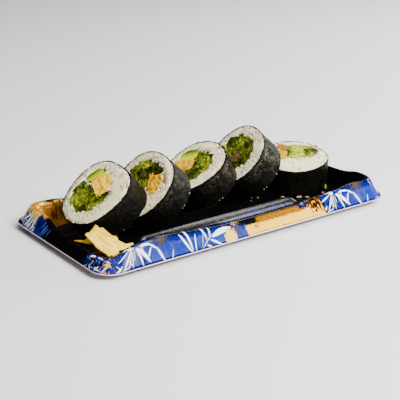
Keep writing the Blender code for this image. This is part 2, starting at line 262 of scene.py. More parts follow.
def give_thickness(piece, thick, shares):
    """Thickens a sheet downwards, by each point's share of the whole thickness."""
    group = piece.vertex_groups.new(name="thickness")
    for index, share in enumerate(shares):
        group.add([index], share, "REPLACE")
    body = piece.modifiers.new("body", "SOLIDIFY")
    body.vertex_group = group.name
    body.thickness = thick * MM
    body.offset = -1.0
    return body


class Pile:
    """Many small closed shapes, gathered into one mesh, with a tone from 0 to 1 for each shape or point."""

    def __init__(self):
        self.verts, self.faces, self.tones = [], [], []
        self.count = 0

    def add(self, verts, faces, tone):
        self.verts.append(verts)
        self.faces.extend([i + self.count for i in face] for face in faces)
        self.tones.append(np.broadcast_to(np.asarray(tone, dtype=float), len(verts)))
        self.count += len(verts)

    def mesh(self, name, piece=None):
        """One mesh in world metres, from a slice's own frame or else from world millimetres."""
        local = np.vstack(self.verts)
        world = piece.settled(local) if piece else local * MM
        data = bpy.data.meshes.new(name)
        data.from_pydata(world.tolist(), [], self.faces)
        data.attributes.new("tone", "FLOAT", "POINT").data.foreach_set("value", np.concatenate(self.tones))
        data.attributes.new("local", "FLOAT_VECTOR", "POINT").data.foreach_set("vector", local.ravel())
        return data


# Shader helpers

class Signal:
    """A value in a shader, on which plain arithmetic adds Math nodes."""

    def __init__(self, wires, socket):
        self.wires, self.socket = wires, socket

    def __add__(self, other):
        return self.wires.math("ADD", self, other)

    def __sub__(self, other):
        return self.wires.math("SUBTRACT", self, other)

    def __rsub__(self, other):
        return self.wires.math("SUBTRACT", other, self)

    def __mul__(self, other):
        return self.wires.math("MULTIPLY", self, other)

    def __abs__(self):
        return self.wires.math("ABSOLUTE", self)


class Wiring:
    """Short calls that add and join the shader nodes of one tree."""

    def __init__(self, tree):
        self.tree = tree

    def put(self, socket, value):
        if isinstance(value, Signal):
            self.tree.links.new(value.socket, socket)
        elif value is not None:
            socket.default_value = (*value, 1.0) if socket.type == "RGBA" else value

    def node(self, kind, inputs=(), output=0, **settings):
        """One output of a new node, whose settings and inputs are in."""
        made = self.tree.nodes.new(kind)
        for key, value in settings.items():
            setattr(made, key, value)
        for key, value in dict(inputs).items():
            self.put(made.inputs[key], value)
        return Signal(self, made.outputs[output])

    def math(self, operation, *values, clamp=False):
        return self.node("ShaderNodeMath", enumerate(values), operation=operation, use_clamp=clamp)

    def vector(self, operation, a, b=None):
        output = "Value" if operation in ("DOT_PRODUCT", "LENGTH") else "Vector"
        return self.node("ShaderNodeVectorMath", {0: a, 1: b}, output, operation=operation)

    def parts(self, vector):
        """The three numbers of a vector."""
        made = self.node("ShaderNodeSeparateXYZ", {0: vector}).socket.node
        return [Signal(self, socket) for socket in made.outputs]

    def blend(self, share, a, b):
        """The first colour where the share is 0, and the second where it is 1."""
        return self.node("ShaderNodeMix", {0: share, 6: a, 7: b}, 2, data_type="RGBA")

    def noise(self, vector, scale, detail=2.0, roughness=0.5, distortion=0.0):
        return self.node("ShaderNodeTexNoise", {"Vector": vector, "Scale": scale, "Detail": detail,
                                                "Roughness": roughness, "Distortion": distortion})

    def step(self, value, low, high):
        """0 below low and 1 above high, eased between them."""
        return self.node("ShaderNodeMapRange", {"Value": value, "From Min": low, "From Max": high},
                         interpolation_type="SMOOTHSTEP")

    def fall(self, value, low, high):
        """1 below low and 0 above high, eased between them."""
        return 1.0 - self.step(value, low, high)

    def zone(self, value, outside, low, high, beyond):
        """1 from low to high, eased to 0 outside them."""
        return self.step(value, outside, low) * self.fall(value, high, beyond)

    def span(self, value, low, high, soft=0.15):
        """1 between low and high, with the same soft edge at both."""
        return self.zone(value, low - soft, low + soft, high - soft, high + soft)

    def scaled(self, vector, scale, turn=0.0):
        return self.node("ShaderNodeMapping",
                         {"Vector": vector, "Rotation": (0.0, 0.0, turn), "Scale": scale})

    def bump(self, height, depth):
        """A normal from a height, whose full depth is in millimetres."""
        return self.node("ShaderNodeBump", {"Height": height, "Distance": depth * MM, "Strength": 1.0})

    def attribute(self, name, output="Fac"):
        return self.node("ShaderNodeAttribute", (), output, attribute_name=name)

    def place(self):
        """Object coordinates in millimetres."""
        return self.scaled(self.node("ShaderNodeTexCoord", (), "Object"), (1000, 1000, 1000))

    def group(self, tree, **inputs):
        """The mask that a node group gives for its named inputs."""
        labelled = {label.capitalize(): value for label, value in inputs.items()}
        return self.node("ShaderNodeGroup", labelled, node_tree=tree)

    def give_mask(self, mask):
        """Ends a node group, and gives its tree."""
        self.put(self.tree.nodes.new("NodeGroupOutput").inputs["Mask"], mask)
        return self.tree

    def finish(self, colour, normal=None, roughness=None):
        """Feeds the material's shader, and gives the material."""
        shader = self.tree.nodes["Principled BSDF"]
        for label, value in (("Base Color", colour), ("Normal", normal), ("Roughness", roughness)):
            self.put(shader.inputs[label], value)
        return self.material


def start_material(name, **plain):
    """A new material's wiring, with the shader's plain sockets set from the keywords."""
    made = bpy.data.materials.new(name)
    made.use_nodes = True
    wires = Wiring(made.node_tree)
    wires.material = made
    shader = made.node_tree.nodes["Principled BSDF"]
    for key, value in plain.items():
        wires.put(shader.inputs[key.replace("_", " ").title().replace("Ior", "IOR")], value)
    return wires


def start_group(name, vectors, numbers):
    """The wiring of a node group that gives one mask, and the inputs that it takes."""
    tree = bpy.data.node_groups.new(name, "ShaderNodeTree")
    for kind, labels in (("NodeSocketVector", vectors), ("NodeSocketFloat", numbers)):
        for label in labels:
            tree.interface.new_socket(label, in_out="INPUT", socket_type=kind)
    tree.interface.new_socket("Mask", in_out="OUTPUT", socket_type="NodeSocketFloat")
    wires = Wiring(tree)
    taken = tree.nodes.new("NodeGroupInput").outputs
    return wires, [Signal(wires, taken[label]) for label in vectors + numbers]


def leaf_group():
    """A pointed leaf from its foot to its tip: 1 on the leaf and 0 off it."""
    wires, (spot, foot, along, side, width, bow) = start_group(
        "printed_leaf", ("Spot", "Foot", "Along", "Side"), ("Width", "Bow"))
    reach = wires.vector("SUBTRACT", spot, foot)
    share = wires.vector("DOT_PRODUCT", reach, along)
    belly = wires.math("MULTIPLY", share * 4.0, 1.0 - share, clamp=True)
    off = abs(wires.vector("DOT_PRODUCT", reach, side) - belly * bow)
    return wires.give_mask(wires.step(wires.math("POWER", belly, 0.7) * width - off, 0.0, 0.22))


def cloud_group():
    """A ragged patch, from noise that thins out away from its middle."""
    wires, (spot, middle, stretch, grain, level) = start_group(
        "printed_cloud", ("Spot", "Middle", "Stretch"), ("Grain", "Level"))
    reach = wires.vector("MULTIPLY", wires.vector("SUBTRACT", spot, middle), stretch)
    cover = wires.noise(spot, grain, 3.0, 0.6) - wires.vector("LENGTH", reach) * 0.5
    return wires.give_mask(wires.step(cover, level, level + 0.04))


# The tray

def corner_arc(centre, radius, first_angle):
    """The points of a quarter circle, without its last one."""
    return [centre + radius * toward(math.radians(first_angle + 90 * step / CORNER_STEPS))
            for step in range(CORNER_STEPS)]


def tray_loop(inset_long, inset_short, radii, height):
    """One loop of the tray: a rounded rectangle whose insets and height change along its sides.

    The front is worked out from its low left corner to its ear at the right, then the right side. The
    rest is the same, turned by half a turn. The short side's places count up towards the ear. Each
    point's last number is its place along the print. The radii are the low corner's and the ear's.
    """
    radius, ear_radius = radii
    half_x, half_y = TRAY_LENGTH / 2, TRAY_WIDTH / 2
    left = -half_x + inset_short(-half_y) + radius
    right = half_x - inset_short(half_y) - ear_radius
    low = -half_y + inset_long(-half_x) + radius
    ear = half_y - inset_long(half_x) - ear_radius
    short_middle = HALF_RIM / 2
    points = []
    for step, point in enumerate(corner_arc(Vector((left, low)), radius, 180)):
        along = mix(-short_middle - low, left, step / CORNER_STEPS)
        points.append((point, height("low", point.x, point.y), along))
    for step in range(LONG_STEPS):
        x = mix(left, right, step / LONG_STEPS)
        points.append((Vector((x, -half_y + inset_long(x))), height("long", x, -half_y), x))
    for step, point in enumerate(corner_arc(Vector((right, -ear)), ear_radius, 270)):
        along = mix(right, short_middle - ear, step / CORNER_STEPS)
        points.append((point, height("ear", point.x, -point.y), along))
    for step in range(SHORT_STEPS):
        y = mix(ear, low, step / SHORT_STEPS)
        points.append((Vector((half_x - inset_short(y), -y)), height("short", half_x, y), short_middle - y))
    loop = [Vector((p.x, p.y, z, along)) for p, z, along in points]
    loop += [Vector((-p.x, -p.y, z, along + HALF_RIM)) for p, z, along in points]
    return loop


def rise_at(part, x, y):
    """How high the rim's crest stands above its outer edge."""
    along, across = wave(LONG_RISE, x), wave(SHORT_RISE, y)
    heights = {
        "long": along,
        "short": across,
        "low": along + across - SHORT_RISE[0][1],
        "ear": along + across - SHORT_RISE[-1][1],
    }
    return heights[part]


def ledge_at(part, x):
    """1 where the long side has its ledge inside the crest, fading to 0 at both ends of it."""
    if part != "long":
        return 0.0
    return ease((x - LEDGE_FROM) / LEDGE_FADE + 0.5) * ease((LEDGE_TO - x) / LEDGE_FADE + 0.5)


def tray_rows():
    """The tray's upper face, from the rim's outer edge over the crest and the ledge to the floor.

    Each row comes with its place across the print.
    """
    edge_height = SHEET + EDGE_ABOVE_FLOOR

    def crest_long(x):
        return wave(LONG_INSET, x)

    def crest_short(y):
        return wave(SHORT_INSET, y)

    def lip(inset, drop):
        return tray_loop(lambda x: inset, lambda y: inset, (TRAY_CORNER, TRAY_CORNER),
                         lambda part, x, y: edge_height - drop)

    def rim(share, height_share, drop=0.0, shift=0.0):
        return tray_loop(lambda x: crest_long(x) * share + shift, lambda y: crest_short(y) * share + shift,
                         (TRAY_CORNER, mix(TRAY_CORNER, EAR_CORNER, share)),
                         lambda part, x, y: edge_height + rise_at(part, x, y) * height_share - drop)

    def ledge(plain_shift, plain_drop, bead_shift, bead_drop):
        def height(part, x, y):
            plain = rise_at(part, x, y) - plain_drop
            return edge_height + mix(plain, LEDGE_BEAD_RISE - bead_drop, ledge_at(part, x))
        return tray_loop(lambda x: mix(crest_long(x) + plain_shift, LEDGE_BEAD_INSET + bead_shift,
                                       ledge_at("long", x)),
                         lambda y: crest_short(y) + plain_shift * 0.5, (TRAY_CORNER, EAR_CORNER), height)

    def floor(inset_less, height):
        return tray_loop(lambda x: FLOOR_INSET_LONG - inset_less,
                         lambda y: FLOOR_INSET_SHORT - inset_less * 0.5,
                         (FLOOR_CORNER, FLOOR_CORNER), lambda part, x, y: height)

    return [
        (0.0, lip(0.0, 0.0)),
        (LIP, lip(LIP, 0.05)),
        (0.5 * CREST, rim(0.5, 0.54)),
        (CREST - CREST_ROUND, rim(1.0, 1.0, 0.6, -CREST_ROUND)),
        (CREST, rim(1.0, 1.0)),
        (CREST + CREST_ROUND, rim(1.0, 1.0, 0.5, CREST_ROUND)),
        (12.8, ledge(2.4, 1.2, -4.7, 2.05)),
        (13.4, ledge(2.8, 1.6, -4.0, 1.75)),
        (15.0, ledge(3.4, 2.2, -2.0, 0.72)),
        (16.5, ledge(4.0, 2.8, 0.0, 0.0)),
        (18.0, ledge(5.0, 4.0, 1.6, 0.9)),
        (20.0, floor(2.2, SHEET + 1.5)),
        (FLOOR_ACROSS, floor(0.0, SHEET)),
        (FLOOR_ACROSS + 2.0, floor(-2.0, SHEET)),
    ]


def smoothed(named):
    """The named rows with smooth ones between them."""
    rows = [named[0], named[1]]
    for index in range(1, len(named) - 1):
        a, b, c = named[index - 1], named[index], named[index + 1]
        d = named[min(index + 2, len(named) - 1)]
        for step in range(1, ROWS_BETWEEN + 1):
            t = step / ROWS_BETWEEN
            row = [between(p, q, r, s, t) for p, q, r, s in zip(a[1], b[1], c[1], d[1])]
            rows.append((mix(b[0], c[0], t), row))
    return rows


def make_tray(film, foam):
    """The formed sheet, drawn out row by row from its outer edge, then given its thickness."""
    mesh = bmesh.new()
    spots = {}
    edges = []
    for across, row in smoothed(tray_rows()):
        if edges:
            out = bmesh.ops.extrude_edge_only(mesh, edges=edges)["geom"]
            edges = [e for e in out if isinstance(e, bmesh.types.BMEdge)]
            new = set(v for v in out if isinstance(v, bmesh.types.BMVert))
            verts = [next(e.other_vert(v) for e in v.link_edges if e.other_vert(v) in new) for v in verts]
        else:
            verts = [mesh.verts.new(p.xyz) for p in row]
            edges = [mesh.edges.new((verts[i - 1], verts[i])) for i in range(len(verts))]
        for v, p in zip(verts, row):
            v.co = p.xyz * MM
            spots[v] = (p.w, across)
    floor = mesh.faces.new(verts)
    bmesh.ops.recalc_face_normals(mesh, faces=mesh.faces[:])
    if floor.normal.z < 0:
        bmesh.ops.reverse_faces(mesh, faces=mesh.faces[:])
    layer = mesh.loops.layers.uv.new("print")
    for face in mesh.faces:
        furthest = max(spots[v][0] for v in face.verts)
        for loop in face.loops:
            along, across = spots[loop.vert]
            if furthest - along > HALF_RIM:
                along += 2 * HALF_RIM
            loop[layer].uv = (along, across)
    mesh.verts.index_update()
    pressed = [mix(EDGE_THIN, 1.0, ease(spots[v][1] / THIN_REACH)) for v in mesh.verts]
    tray = finish_piece("formed_tray", mesh, film, "tray", ("tray",))
    tray.data.materials.append(foam)
    sheet = give_thickness(tray, SHEET, pressed)
    sheet.use_even_offset = True
    sheet.material_offset = 1
    sheet.material_offset_rim = 1


# The printed film. Its inks are linear colours.
INK = {
    "black": (0.0015, 0.0015, 0.0018),
    "navy": (0.001, 0.003, 0.045),
    "strong blue": (0.0008, 0.0070, 0.13),
    "blue": (0.008, 0.022, 0.22),
    "pale blue": (0.07, 0.13, 0.50),
    "violet": (0.025, 0.042, 0.24),
    "white": (0.88, 0.88, 0.88),
    "cream": (0.93, 0.56, 0.050),
    "gold": (0.50, 0.27, 0.008),
    "orange": (0.21, 0.082, 0.0002),
    "bright orange": (0.30, 0.125, 0.002),
    "amber": (0.36, 0.165, 0.0004),
    "red brown": (0.20, 0.020, 0.003),
    "brown": (0.075, 0.024, 0.003),
    "bronze": (0.30, 0.115, 0.005),
    "dust": (0.052, 0.042, 0.025),
}

# White leaves of the front's motif: foot, tip, half width and bow, all in places on the print.
WHITE_LEAVES = (
    ((-91.6, 7.6), (-83.8, 1.6), 1.05, 0.35), ((-91.8, 7.6), (-89.8, 0.9), 0.75, 0.55),
    ((-94.2, 7.8), (-97.6, 0.9), 0.3, 0.2), ((-93.0, 7.6), (-94.6, 3.4), 0.25, 0.1),
    ((-86.6, 8.9), (-88.2, 5.2), 0.4, 0.2), ((-81.0, 6.2), (-85.6, 2.4), 0.5, -0.2),
    ((-89.5, 7.6), (-80.4, 6.6), 0.55, 0.5), ((-82.0, 7.0), (-77.6, 5.2), 0.5, 0.1),
    ((-94.4, 8.2), (-104.2, 1.8), 0.5, 0.25), ((-95.0, 8.6), (-107.6, 5.6), 0.4, 0.2),
    ((-94.2, 8.0), (-101.0, 0.8), 0.3, 0.1), ((-108.4, 0.9), (-103.6, 3.9), 0.5, 0.1),
    ((-106.4, 0.9), (-99.2, 2.2), 0.34, 0.1), ((-109.6, 4.6), (-105.2, 2.0), 0.3, 0.1),
    ((-99.8, 5.8), (-96.4, 2.0), 0.3, -0.15), ((-100.4, 9.8), (-93.4, 8.1), 0.5, 0.4),
    ((-95.6, 10.4), (-93.0, 8.0), 0.55, 0.0), ((-97.6, 9.4), (-93.4, 7.8), 0.4, -0.4),
    ((-106.0, 3.4), (-110.4, 0.9), 0.45, 0.3), ((-52.3, 0.6), (-59.4, 8.5), 0.8, -0.2),
    ((-52.0, 0.8), (-56.0, 10.2), 0.85, -1.5), ((-49.6, 0.5), (-46.6, 7.6), 0.5, 0.2),
    ((-42.2, 10.2), (-39.2, 3.4), 0.7, 0.7), ((-36.4, 9.9), (-36.9, 4.8), 0.65, 1.1),
    ((-34.8, 4.5), (-18.0, 6.7), 1.35, 0.75), ((-37.2, 3.9), (-28.8, 0.4), 0.65, 0.35),
    ((-40.6, 2.2), (-36.8, 0.3), 0.55, 0.2),
)
# Thin stems, and the leaves that show the blue through.
STEMS = (
    ((-45.2, 0.6), (-31.6, 6.3), 0.3, 0.5), ((-44.9, 0.9), (-40.2, 8.0), 0.22, -0.2),
    ((-68.2, 0.3), (-65.8, 3.8), 0.4, 0.1), ((-78.0, 5.8), (-73.4, 0.1), 0.85, 0.3),
)
# The fan of white leaves on the back ear, its pale streaks at the short side, and the low corner's star.
EAR_LEAVES = (
    ((140.4, 7.4), (138.4, 0.9), 0.85, 0.35), ((138.6, 7.6), (134.2, 1.0), 0.60, 0.45),
    ((137.4, 8.0), (129.6, 1.2), 0.65, 0.60), ((136.4, 8.2), (126.4, 3.2), 0.50, 0.60),
    ((135.6, 3.4), (132.2, 0.9), 0.40, -0.20),
)
EAR_STREAKS = (
    ((150.6, 1.4), (154.4, 7.4), 0.55, 0.2), ((152.6, 1.6), (156.4, 6.6), 0.4, 0.2),
    ((156.6, 1.6), (159.6, 7.6), 0.35, 0.2), ((148.8, 3.4), (151.4, 8.2), 0.35, 0.2),
)
LOW_STREAKS = (
    ((-142.0, 1.6), (-139.6, 5.6), 0.35, 0.1), ((-140.2, 1.4), (-138.2, 4.6), 0.3, 0.1),
    ((-138.2, 1.2), (-136.6, 4.2), 0.25, 0.1),
)
STAR = (
    ((-126.6, 0.9), (-123.2, 4.4), 0.45, 0.3), ((-127.6, 3.2), (-121.4, 2.0), 0.4, -0.3),
    ((-136.4, 7.6), (-129.0, 9.4), 0.6, 0.5), ((-127.0, 9.2), (-119.6, 8.2), 0.35, 0.3),
    ((-132.4, 2.0), (-129.6, 7.2), 0.26, 0.3), ((-130.6, 0.8), (-133.4, 3.6), 0.4, 0.3),
    ((-121.0, 1.2), (-114.4, 5.4), 0.36, 0.2), ((-117.0, 8.4), (-112.6, 3.4), 0.34, 0.2),
)
# Ragged patches over the motif: middle, reach along and across, grain, level and ink.
CLOUDS = (
    ((-9.0, 7.6), (12.0, 4.4), 0.9, 0.30, "black"),
    ((-20.6, 3.0), (6.5, 4.4), 0.75, 0.12, "cream"),
    ((-73.0, 7.6), (13.0, 6.5), 1.0, 0.33, "dust"),
    ((-13.6, 5.0), (12.0, 7.0), 1.2, 0.38, "dust"),
    ((-15.0, 8.0), (12.0, 5.0), 1.3, 0.44, "gold"),
    ((1.0, 4.4), (9.0, 3.4), 1.2, 0.40, "dust"),
)


def film_material():
    """Black film with blue and gold panels, white bamboo leaves and gold clouds round its rim."""
    wires = start_material("printed_film", specular_ior_level=0.10)
    step, fall, zone, span, noise = wires.step, wires.fall, wires.zone, wires.span, wires.noise
    leaf, cloud = leaf_group(), cloud_group()
    place = wires.place()
    along_all, across, _ = wires.parts(wires.node("ShaderNodeUVMap", uv_map="print"))
    along = wires.math("WRAP", along_all, HALF_RIM / 2, -HALF_RIM / 2)
    half = wires.math("FLOOR", wires.math("DIVIDE", along_all + HALF_RIM / 2, HALF_RIM))
    back = wires.math("MODULO", half, 2.0)
    motif = along - wires.math("GREATER_THAN", along, MOTIF_END) * REPEAT
    wobble = noise(place, 0.9, 3.0)
    drift = (wobble - 0.5) * 2.6
    motif_soft, along_soft, across_soft = motif + drift, along + drift, across + drift
    spot, rim_spot = (wires.node("ShaderNodeCombineXYZ", {0: x, 1: across}) for x in (motif, along))

    def strokes(along_scale, across_scale, turn, detail, roughness, bend):
        stretched = wires.scaled(rim_spot, (along_scale, across_scale, 1.0), turn)
        return noise(stretched, 1.0, detail, roughness, bend)

    def patches(scale, low, high, detail=3.0):
        return step(noise(rim_spot, scale, detail), low, high)

    def patch(where, middle, reach, grain, level):
        return wires.group(cloud, spot=where, middle=(*middle, 0.0),
                           stretch=(1.0 / reach[0], 1.0 / reach[1], 0.0), grain=grain, level=level)

    def leaves(table, where):
        mask = 0.0
        for foot, tip, width, bow in table:
            reach = Vector(tip) - Vector(foot)
            length = reach.length
            one = wires.group(leaf, spot=where, foot=(*foot, 0.0), along=(*(reach / length ** 2), 0.0),
                              side=(-reach.y / length, reach.x / length, 0.0), width=width, bow=bow)
            mask = wires.math("MAXIMUM", one, mask)
        return mask

    def painted(below, *coats):
        """One ink under coats of others: each coat is its mask and its ink."""
        for mask, ink in coats:
            below = wires.blend(mask, INK.get(below, below), INK.get(ink, ink))
        return below

    # The long sides: the blue panels with their dark band along the crest.
    long_side = zone(along, -113.0, -111.0, 108.0, 112.0)
    ear_front = (1.0 - back) * zone(along, 100.0, 104.0, 150.0, 158.0)
    blue_zone = wires.math("MAXIMUM", long_side * fall(motif_soft, -7.0, -5.5), ear_front)
    panel = painted(
        "blue",
        (step(noise(place, 0.11, 3.0, 0.6), 0.40, 0.62), "violet"),
        (step(strokes(0.8, 0.12, 0.0, 3.0, 0.5, 0.0), 0.5, 0.75) * 0.22, "pale blue"),
        (step(across_soft, 5.8, 6.4), "strong blue"),
        (step(across_soft, 7.4, 8.2) * step(wobble, 0.44, 0.50), "black"),
    )
    ground = painted("navy", (patches(0.55, 0.45, 0.55), "blue"))
    inks = painted(
        "black",
        (blue_zone * fall(across_soft, 9.3, 10.0), panel),
        (long_side * fall(motif_soft, -88.0, -85.0) * fall(across_soft, 9.8, 10.4), ground),
        (blue_zone * span(across, 0.95, 1.5), "navy"),
    )

    # The gold panel: cream with fine lines, amber by the crest, and orange dashes along the edge.
    gold_zone = long_side * zone(motif_soft, -7.4, -6.6, 60.0, 61.5)
    lines = wires.math("SINE", along * 3.7)
    woven = wires.math("SINE", (across + along * 0.3) * 4.6)
    cream = painted(
        "cream",
        (step(lines, 0.0, 0.9) * 0.6, "gold"),
        (span(across, 0.9, 1.5) * step(wobble, 0.45, 0.52), "orange"),
    )
    amber = painted(
        "orange",
        (step(woven, 0.0, 0.9) * 0.6, "amber"),
        (patches(0.75, 0.59, 0.63), "red brown"),
    )
    jagged = span(across_soft + lines * 0.35, 5.2, 8.4, 0.25)
    inks = painted(
        inks,
        (gold_zone * fall(across_soft, 5.2, 5.8), cream),
        (gold_zone * jagged * step(motif_soft, 2.0, 5.0), amber),
    )

    # The motif's leaves, stems and ragged clouds, then the rust at the panel's end and the ledge's blots.
    rust = painted("black", (patches(0.7, 0.54, 0.62), "red brown"), (patches(0.5, 0.55, 0.61, 2.0), "gold"))
    blots = step(noise(place, 0.34, 2.0), 0.53, 0.57) * span(along, -24.0, 37.0, 2.0)
    long_coats = (
        (leaves(STEMS, spot) * 0.75, "white"),
        (leaves(WHITE_LEAVES, spot), "white"),
        *((patch(spot, *shape), ink) for *shape, ink in CLOUDS),
        (patch(rim_spot, (55.0, 6.4), (9.0, 6.0), 0.6, 0.20), rust),
        (patch(rim_spot, (45.5, 7.6), (7.0, 2.4), 0.5, 0.12), "navy"),
        (blots * span(across, 10.4, 14.6, 0.4), "strong blue"),
        (step(noise(place, 0.5, 2.0), 0.6, 0.64) * span(across, 8.4, 10.6, 0.3), "black"),
    )
    inks = painted(inks, *((long_side * mask, ink) for mask, ink in long_coats))

    # The back ear and the short side next to it: orange crest, white and blue strokes, navy block, a painted
    # cream highlight along the crest, and painted cream glare streaks high on the bronze inner wall.
    brushed = strokes(0.50, 0.15, 0.5, 3.0, 0.6, 0.9)
    sunlit = across_soft - abs(along - 126.0) * 0.12
    ear = painted(
        "navy",
        (step(brushed, 0.42, 0.48), "strong blue"),
        (fall(abs(brushed - 0.52), 0.010, 0.024), "white"),
        (step(brushed, 0.60, 0.64), "blue"),
        (leaves(EAR_LEAVES, rim_spot), "white"),
        (patch(rim_spot, (139.0, 6.8), (7.0, 4.6), 0.9, 0.30), "cream"),
        (patch(rim_spot, (138.5, 6.0), (6.0, 4.6), 1.1, 0.40), "gold"),
        (patch(rim_spot, (122.0, 1.6), (6.0, 2.6), 0.6, 0.1), "black"),
        # Painted highlight: a cream stroke along the crest, narrowing away from its middle.
        (step(sunlit, 5.6, 6.4) * step(brushed, 0.44, 0.48), "cream"),
        (step(across_soft + brushed * 3.0, 10.0, 10.8), "bright orange"),
    )
    wall = strokes(0.22, 0.30, -0.7, 4.0, 0.65, 1.2)
    bronze = painted(
        "brown",
        (step(wall, 0.38, 0.60), "bronze"),
        # Painted highlight: cream glare streaks near the top of the bronze wall.
        (step(wall, 0.47, 0.53) * fall(across_soft, 13.4, 14.6), "cream"),
    )
    deep = painted("navy", (patches(0.25, 0.46, 0.54, 2.0), "strong blue"))
    back_coats = (
        (zone(along, 99.0, 103.0, 146.0, 150.0) * fall(across, 11.5, 12.2), ear),
        (span(along, 86.0, 132.0, 3.0) * span(across, 11.4, 20.6, 0.4), bronze),
        (step(along, 141.0, 143.5) * fall(along_soft, 153.0, 155.0) * fall(across_soft, 7.2, 8.4), deep),
        (leaves(EAR_STREAKS, rim_spot), "pale blue"),
    )
    inks = painted(inks, *((back * mask, ink) for mask, ink in back_coats))

    # The low corners: a dark mix of blue, black, white and gold.
    speckle = noise(rim_spot, 0.30, 4.0, 0.62, 0.8)
    mixed = painted(
        "black",
        (step(speckle, 0.43, 0.47), "navy"),
        (step(speckle, 0.50, 0.54), "strong blue"),
        (step(strokes(1.3, 0.45, 0.8, 3.0, 0.6, 0.8), 0.63, 0.66), "white"),
        (patch(rim_spot, (-117.0, 5.6), (9.0, 6.0), 0.9, 0.42), "cream"),
        (patch(rim_spot, (-119.0, 1.4), (9.0, 3.0), 1.1, 0.40), "gold"),
    )
    inks = painted(
        inks,
        (zone(along, -139.5, -137.0, -112.5, -110.0) * fall(across_soft, 9.6, 10.4), mixed),
        (leaves(STAR, rim_spot), "white"),
        (leaves(LOW_STREAKS, rim_spot), "strong blue"),
    )
    return wires.finish(inks, wires.bump(noise(place, 0.35, 3.0), 0.06), wobble * 0.10 + 0.13)


def foam_material():
    """The pale foam under the film, which shows at the cut edge and underneath."""
    wires = start_material("cut_foam", roughness=0.6)
    cells = wires.noise(wires.place(), 3.0, 3.0)
    return wires.finish(wires.blend(cells, (0.72, 0.55, 0.60), (0.86, 0.70, 0.75)), wires.bump(cells, 0.1))


# The slices

class Slice:
    """One slice's own frame and outline, read from its CAD seaweed."""

    LOBES = 6
    FITS = 4

    def __init__(self, number):
        self.number = number
        source = bpy.data.objects[f"nori_{number}"].data
        points = np.unique(np.array([v.co[:] for v in source.vertices]).round(6), axis=0) / MM
        middle = points.mean(axis=0)
        out = Vector(np.linalg.svd(points - middle, full_matrices=False)[2][2])
        if out.z < 0:
            out.negate()
        across = Vector((0, 0, 1)).cross(out).normalized()
        turn = Matrix((across, out.cross(across), out)).transposed()
        local = (points - middle) @ np.array(turn)
        self.thickness = float(np.ptp(local[:, 2]))
        rim = local[local[:, 2] > 0.0]
        centre = np.array((0.0, 0.0, rim[:, 2].mean()))
        for _ in range(self.FITS):
            flat = rim[:, :2] - centre[:2]
            angle = np.arctan2(flat[:, 1], flat[:, 0])
            terms = np.linalg.lstsq(self.table(angle), np.hypot(flat[:, 0], flat[:, 1]), rcond=None)[0]
            centre[:2] += (terms[1], terms[self.LOBES + 1])
        self.terms = terms
        place = Vector(middle) + turn @ Vector(centre)
        self.to_world = Matrix.Translation(place * MM) @ turn.to_4x4() @ Matrix.Scale(MM, 4)
        self.to_local = self.to_world.inverted()
        angle, self.front_slump, self.back_slump = SLUMP.get(number, (0, 0, 0))
        self.slump_way = np.array((math.cos(math.radians(angle)), math.sin(math.radians(angle)), 0.0))

    def table(self, angle):
        turns = [np.cos(k * angle) for k in range(self.LOBES + 1)]
        turns += [np.sin(k * angle) for k in range(1, self.LOBES + 1)]
        return np.column_stack(turns)

    def radius(self, angle):
        """The seaweed's outer radius in a direction, or in each of many."""
        found = self.table(np.atleast_1d(angle)) @ self.terms + NORI / 2
        return found if np.ndim(angle) else float(found[0])

    def side(self, z):
        """1 on the slice's front half, and -1 on its back half."""
        return 1.0 if z > -self.thickness / 2 else -1.0

    def settled(self, local):
        """Local places in the world, in metres, after the soft roll has slumped to one side."""
        away = np.hypot(local[:, 0], local[:, 1]) / self.terms[0]
        depth = np.clip(-local[:, 2] / self.thickness, 0.0, 1.0)
        slump = mix(self.front_slump, self.back_slump, depth) * np.minimum(away, 1.05) ** 3
        moved = local + slump[:, None] * self.slump_way
        return moved @ np.array(self.to_world.to_3x3()).T + np.array(self.to_world.translation)

    def settle(self, mesh):
        """Puts a local mesh into the world, with each point's local place kept for its material."""
        layer = mesh.verts.layers.float_vector.new("local")
        world = self.settled(np.array([v.co[:] for v in mesh.verts]))
        for v, place in zip(mesh.verts, world.tolist()):
            v[layer] = v.co
            v.co = place


def cad_copy(node, piece):
    """A merged copy of a CAD node's mesh, in the slice's own frame in millimetres."""
    mesh = bmesh.new()
    mesh.from_mesh(bpy.data.objects[node].data)
    bmesh.ops.remove_doubles(mesh, verts=mesh.verts[:], dist=1e-6)
    bmesh.ops.transform(mesh, matrix=piece.to_local, verts=mesh.verts[:])
    return mesh


def remeshed(mesh, size):
    """The same solid with small even faces, from a voxel remesh."""
    data = bpy.data.meshes.new("voxel_work")
    mesh.to_mesh(data)
    mesh.free()
    work = new_object("voxel_work", data)
    voxels = work.modifiers.new("voxels", "REMESH")
    voxels.mode = "VOXEL"
    voxels.voxel_size = size
    made = bmesh.new()
    made.from_object(work, bpy.context.evaluated_depsgraph_get())
    bpy.data.objects.remove(work)
    bpy.data.meshes.remove(data)
    return made


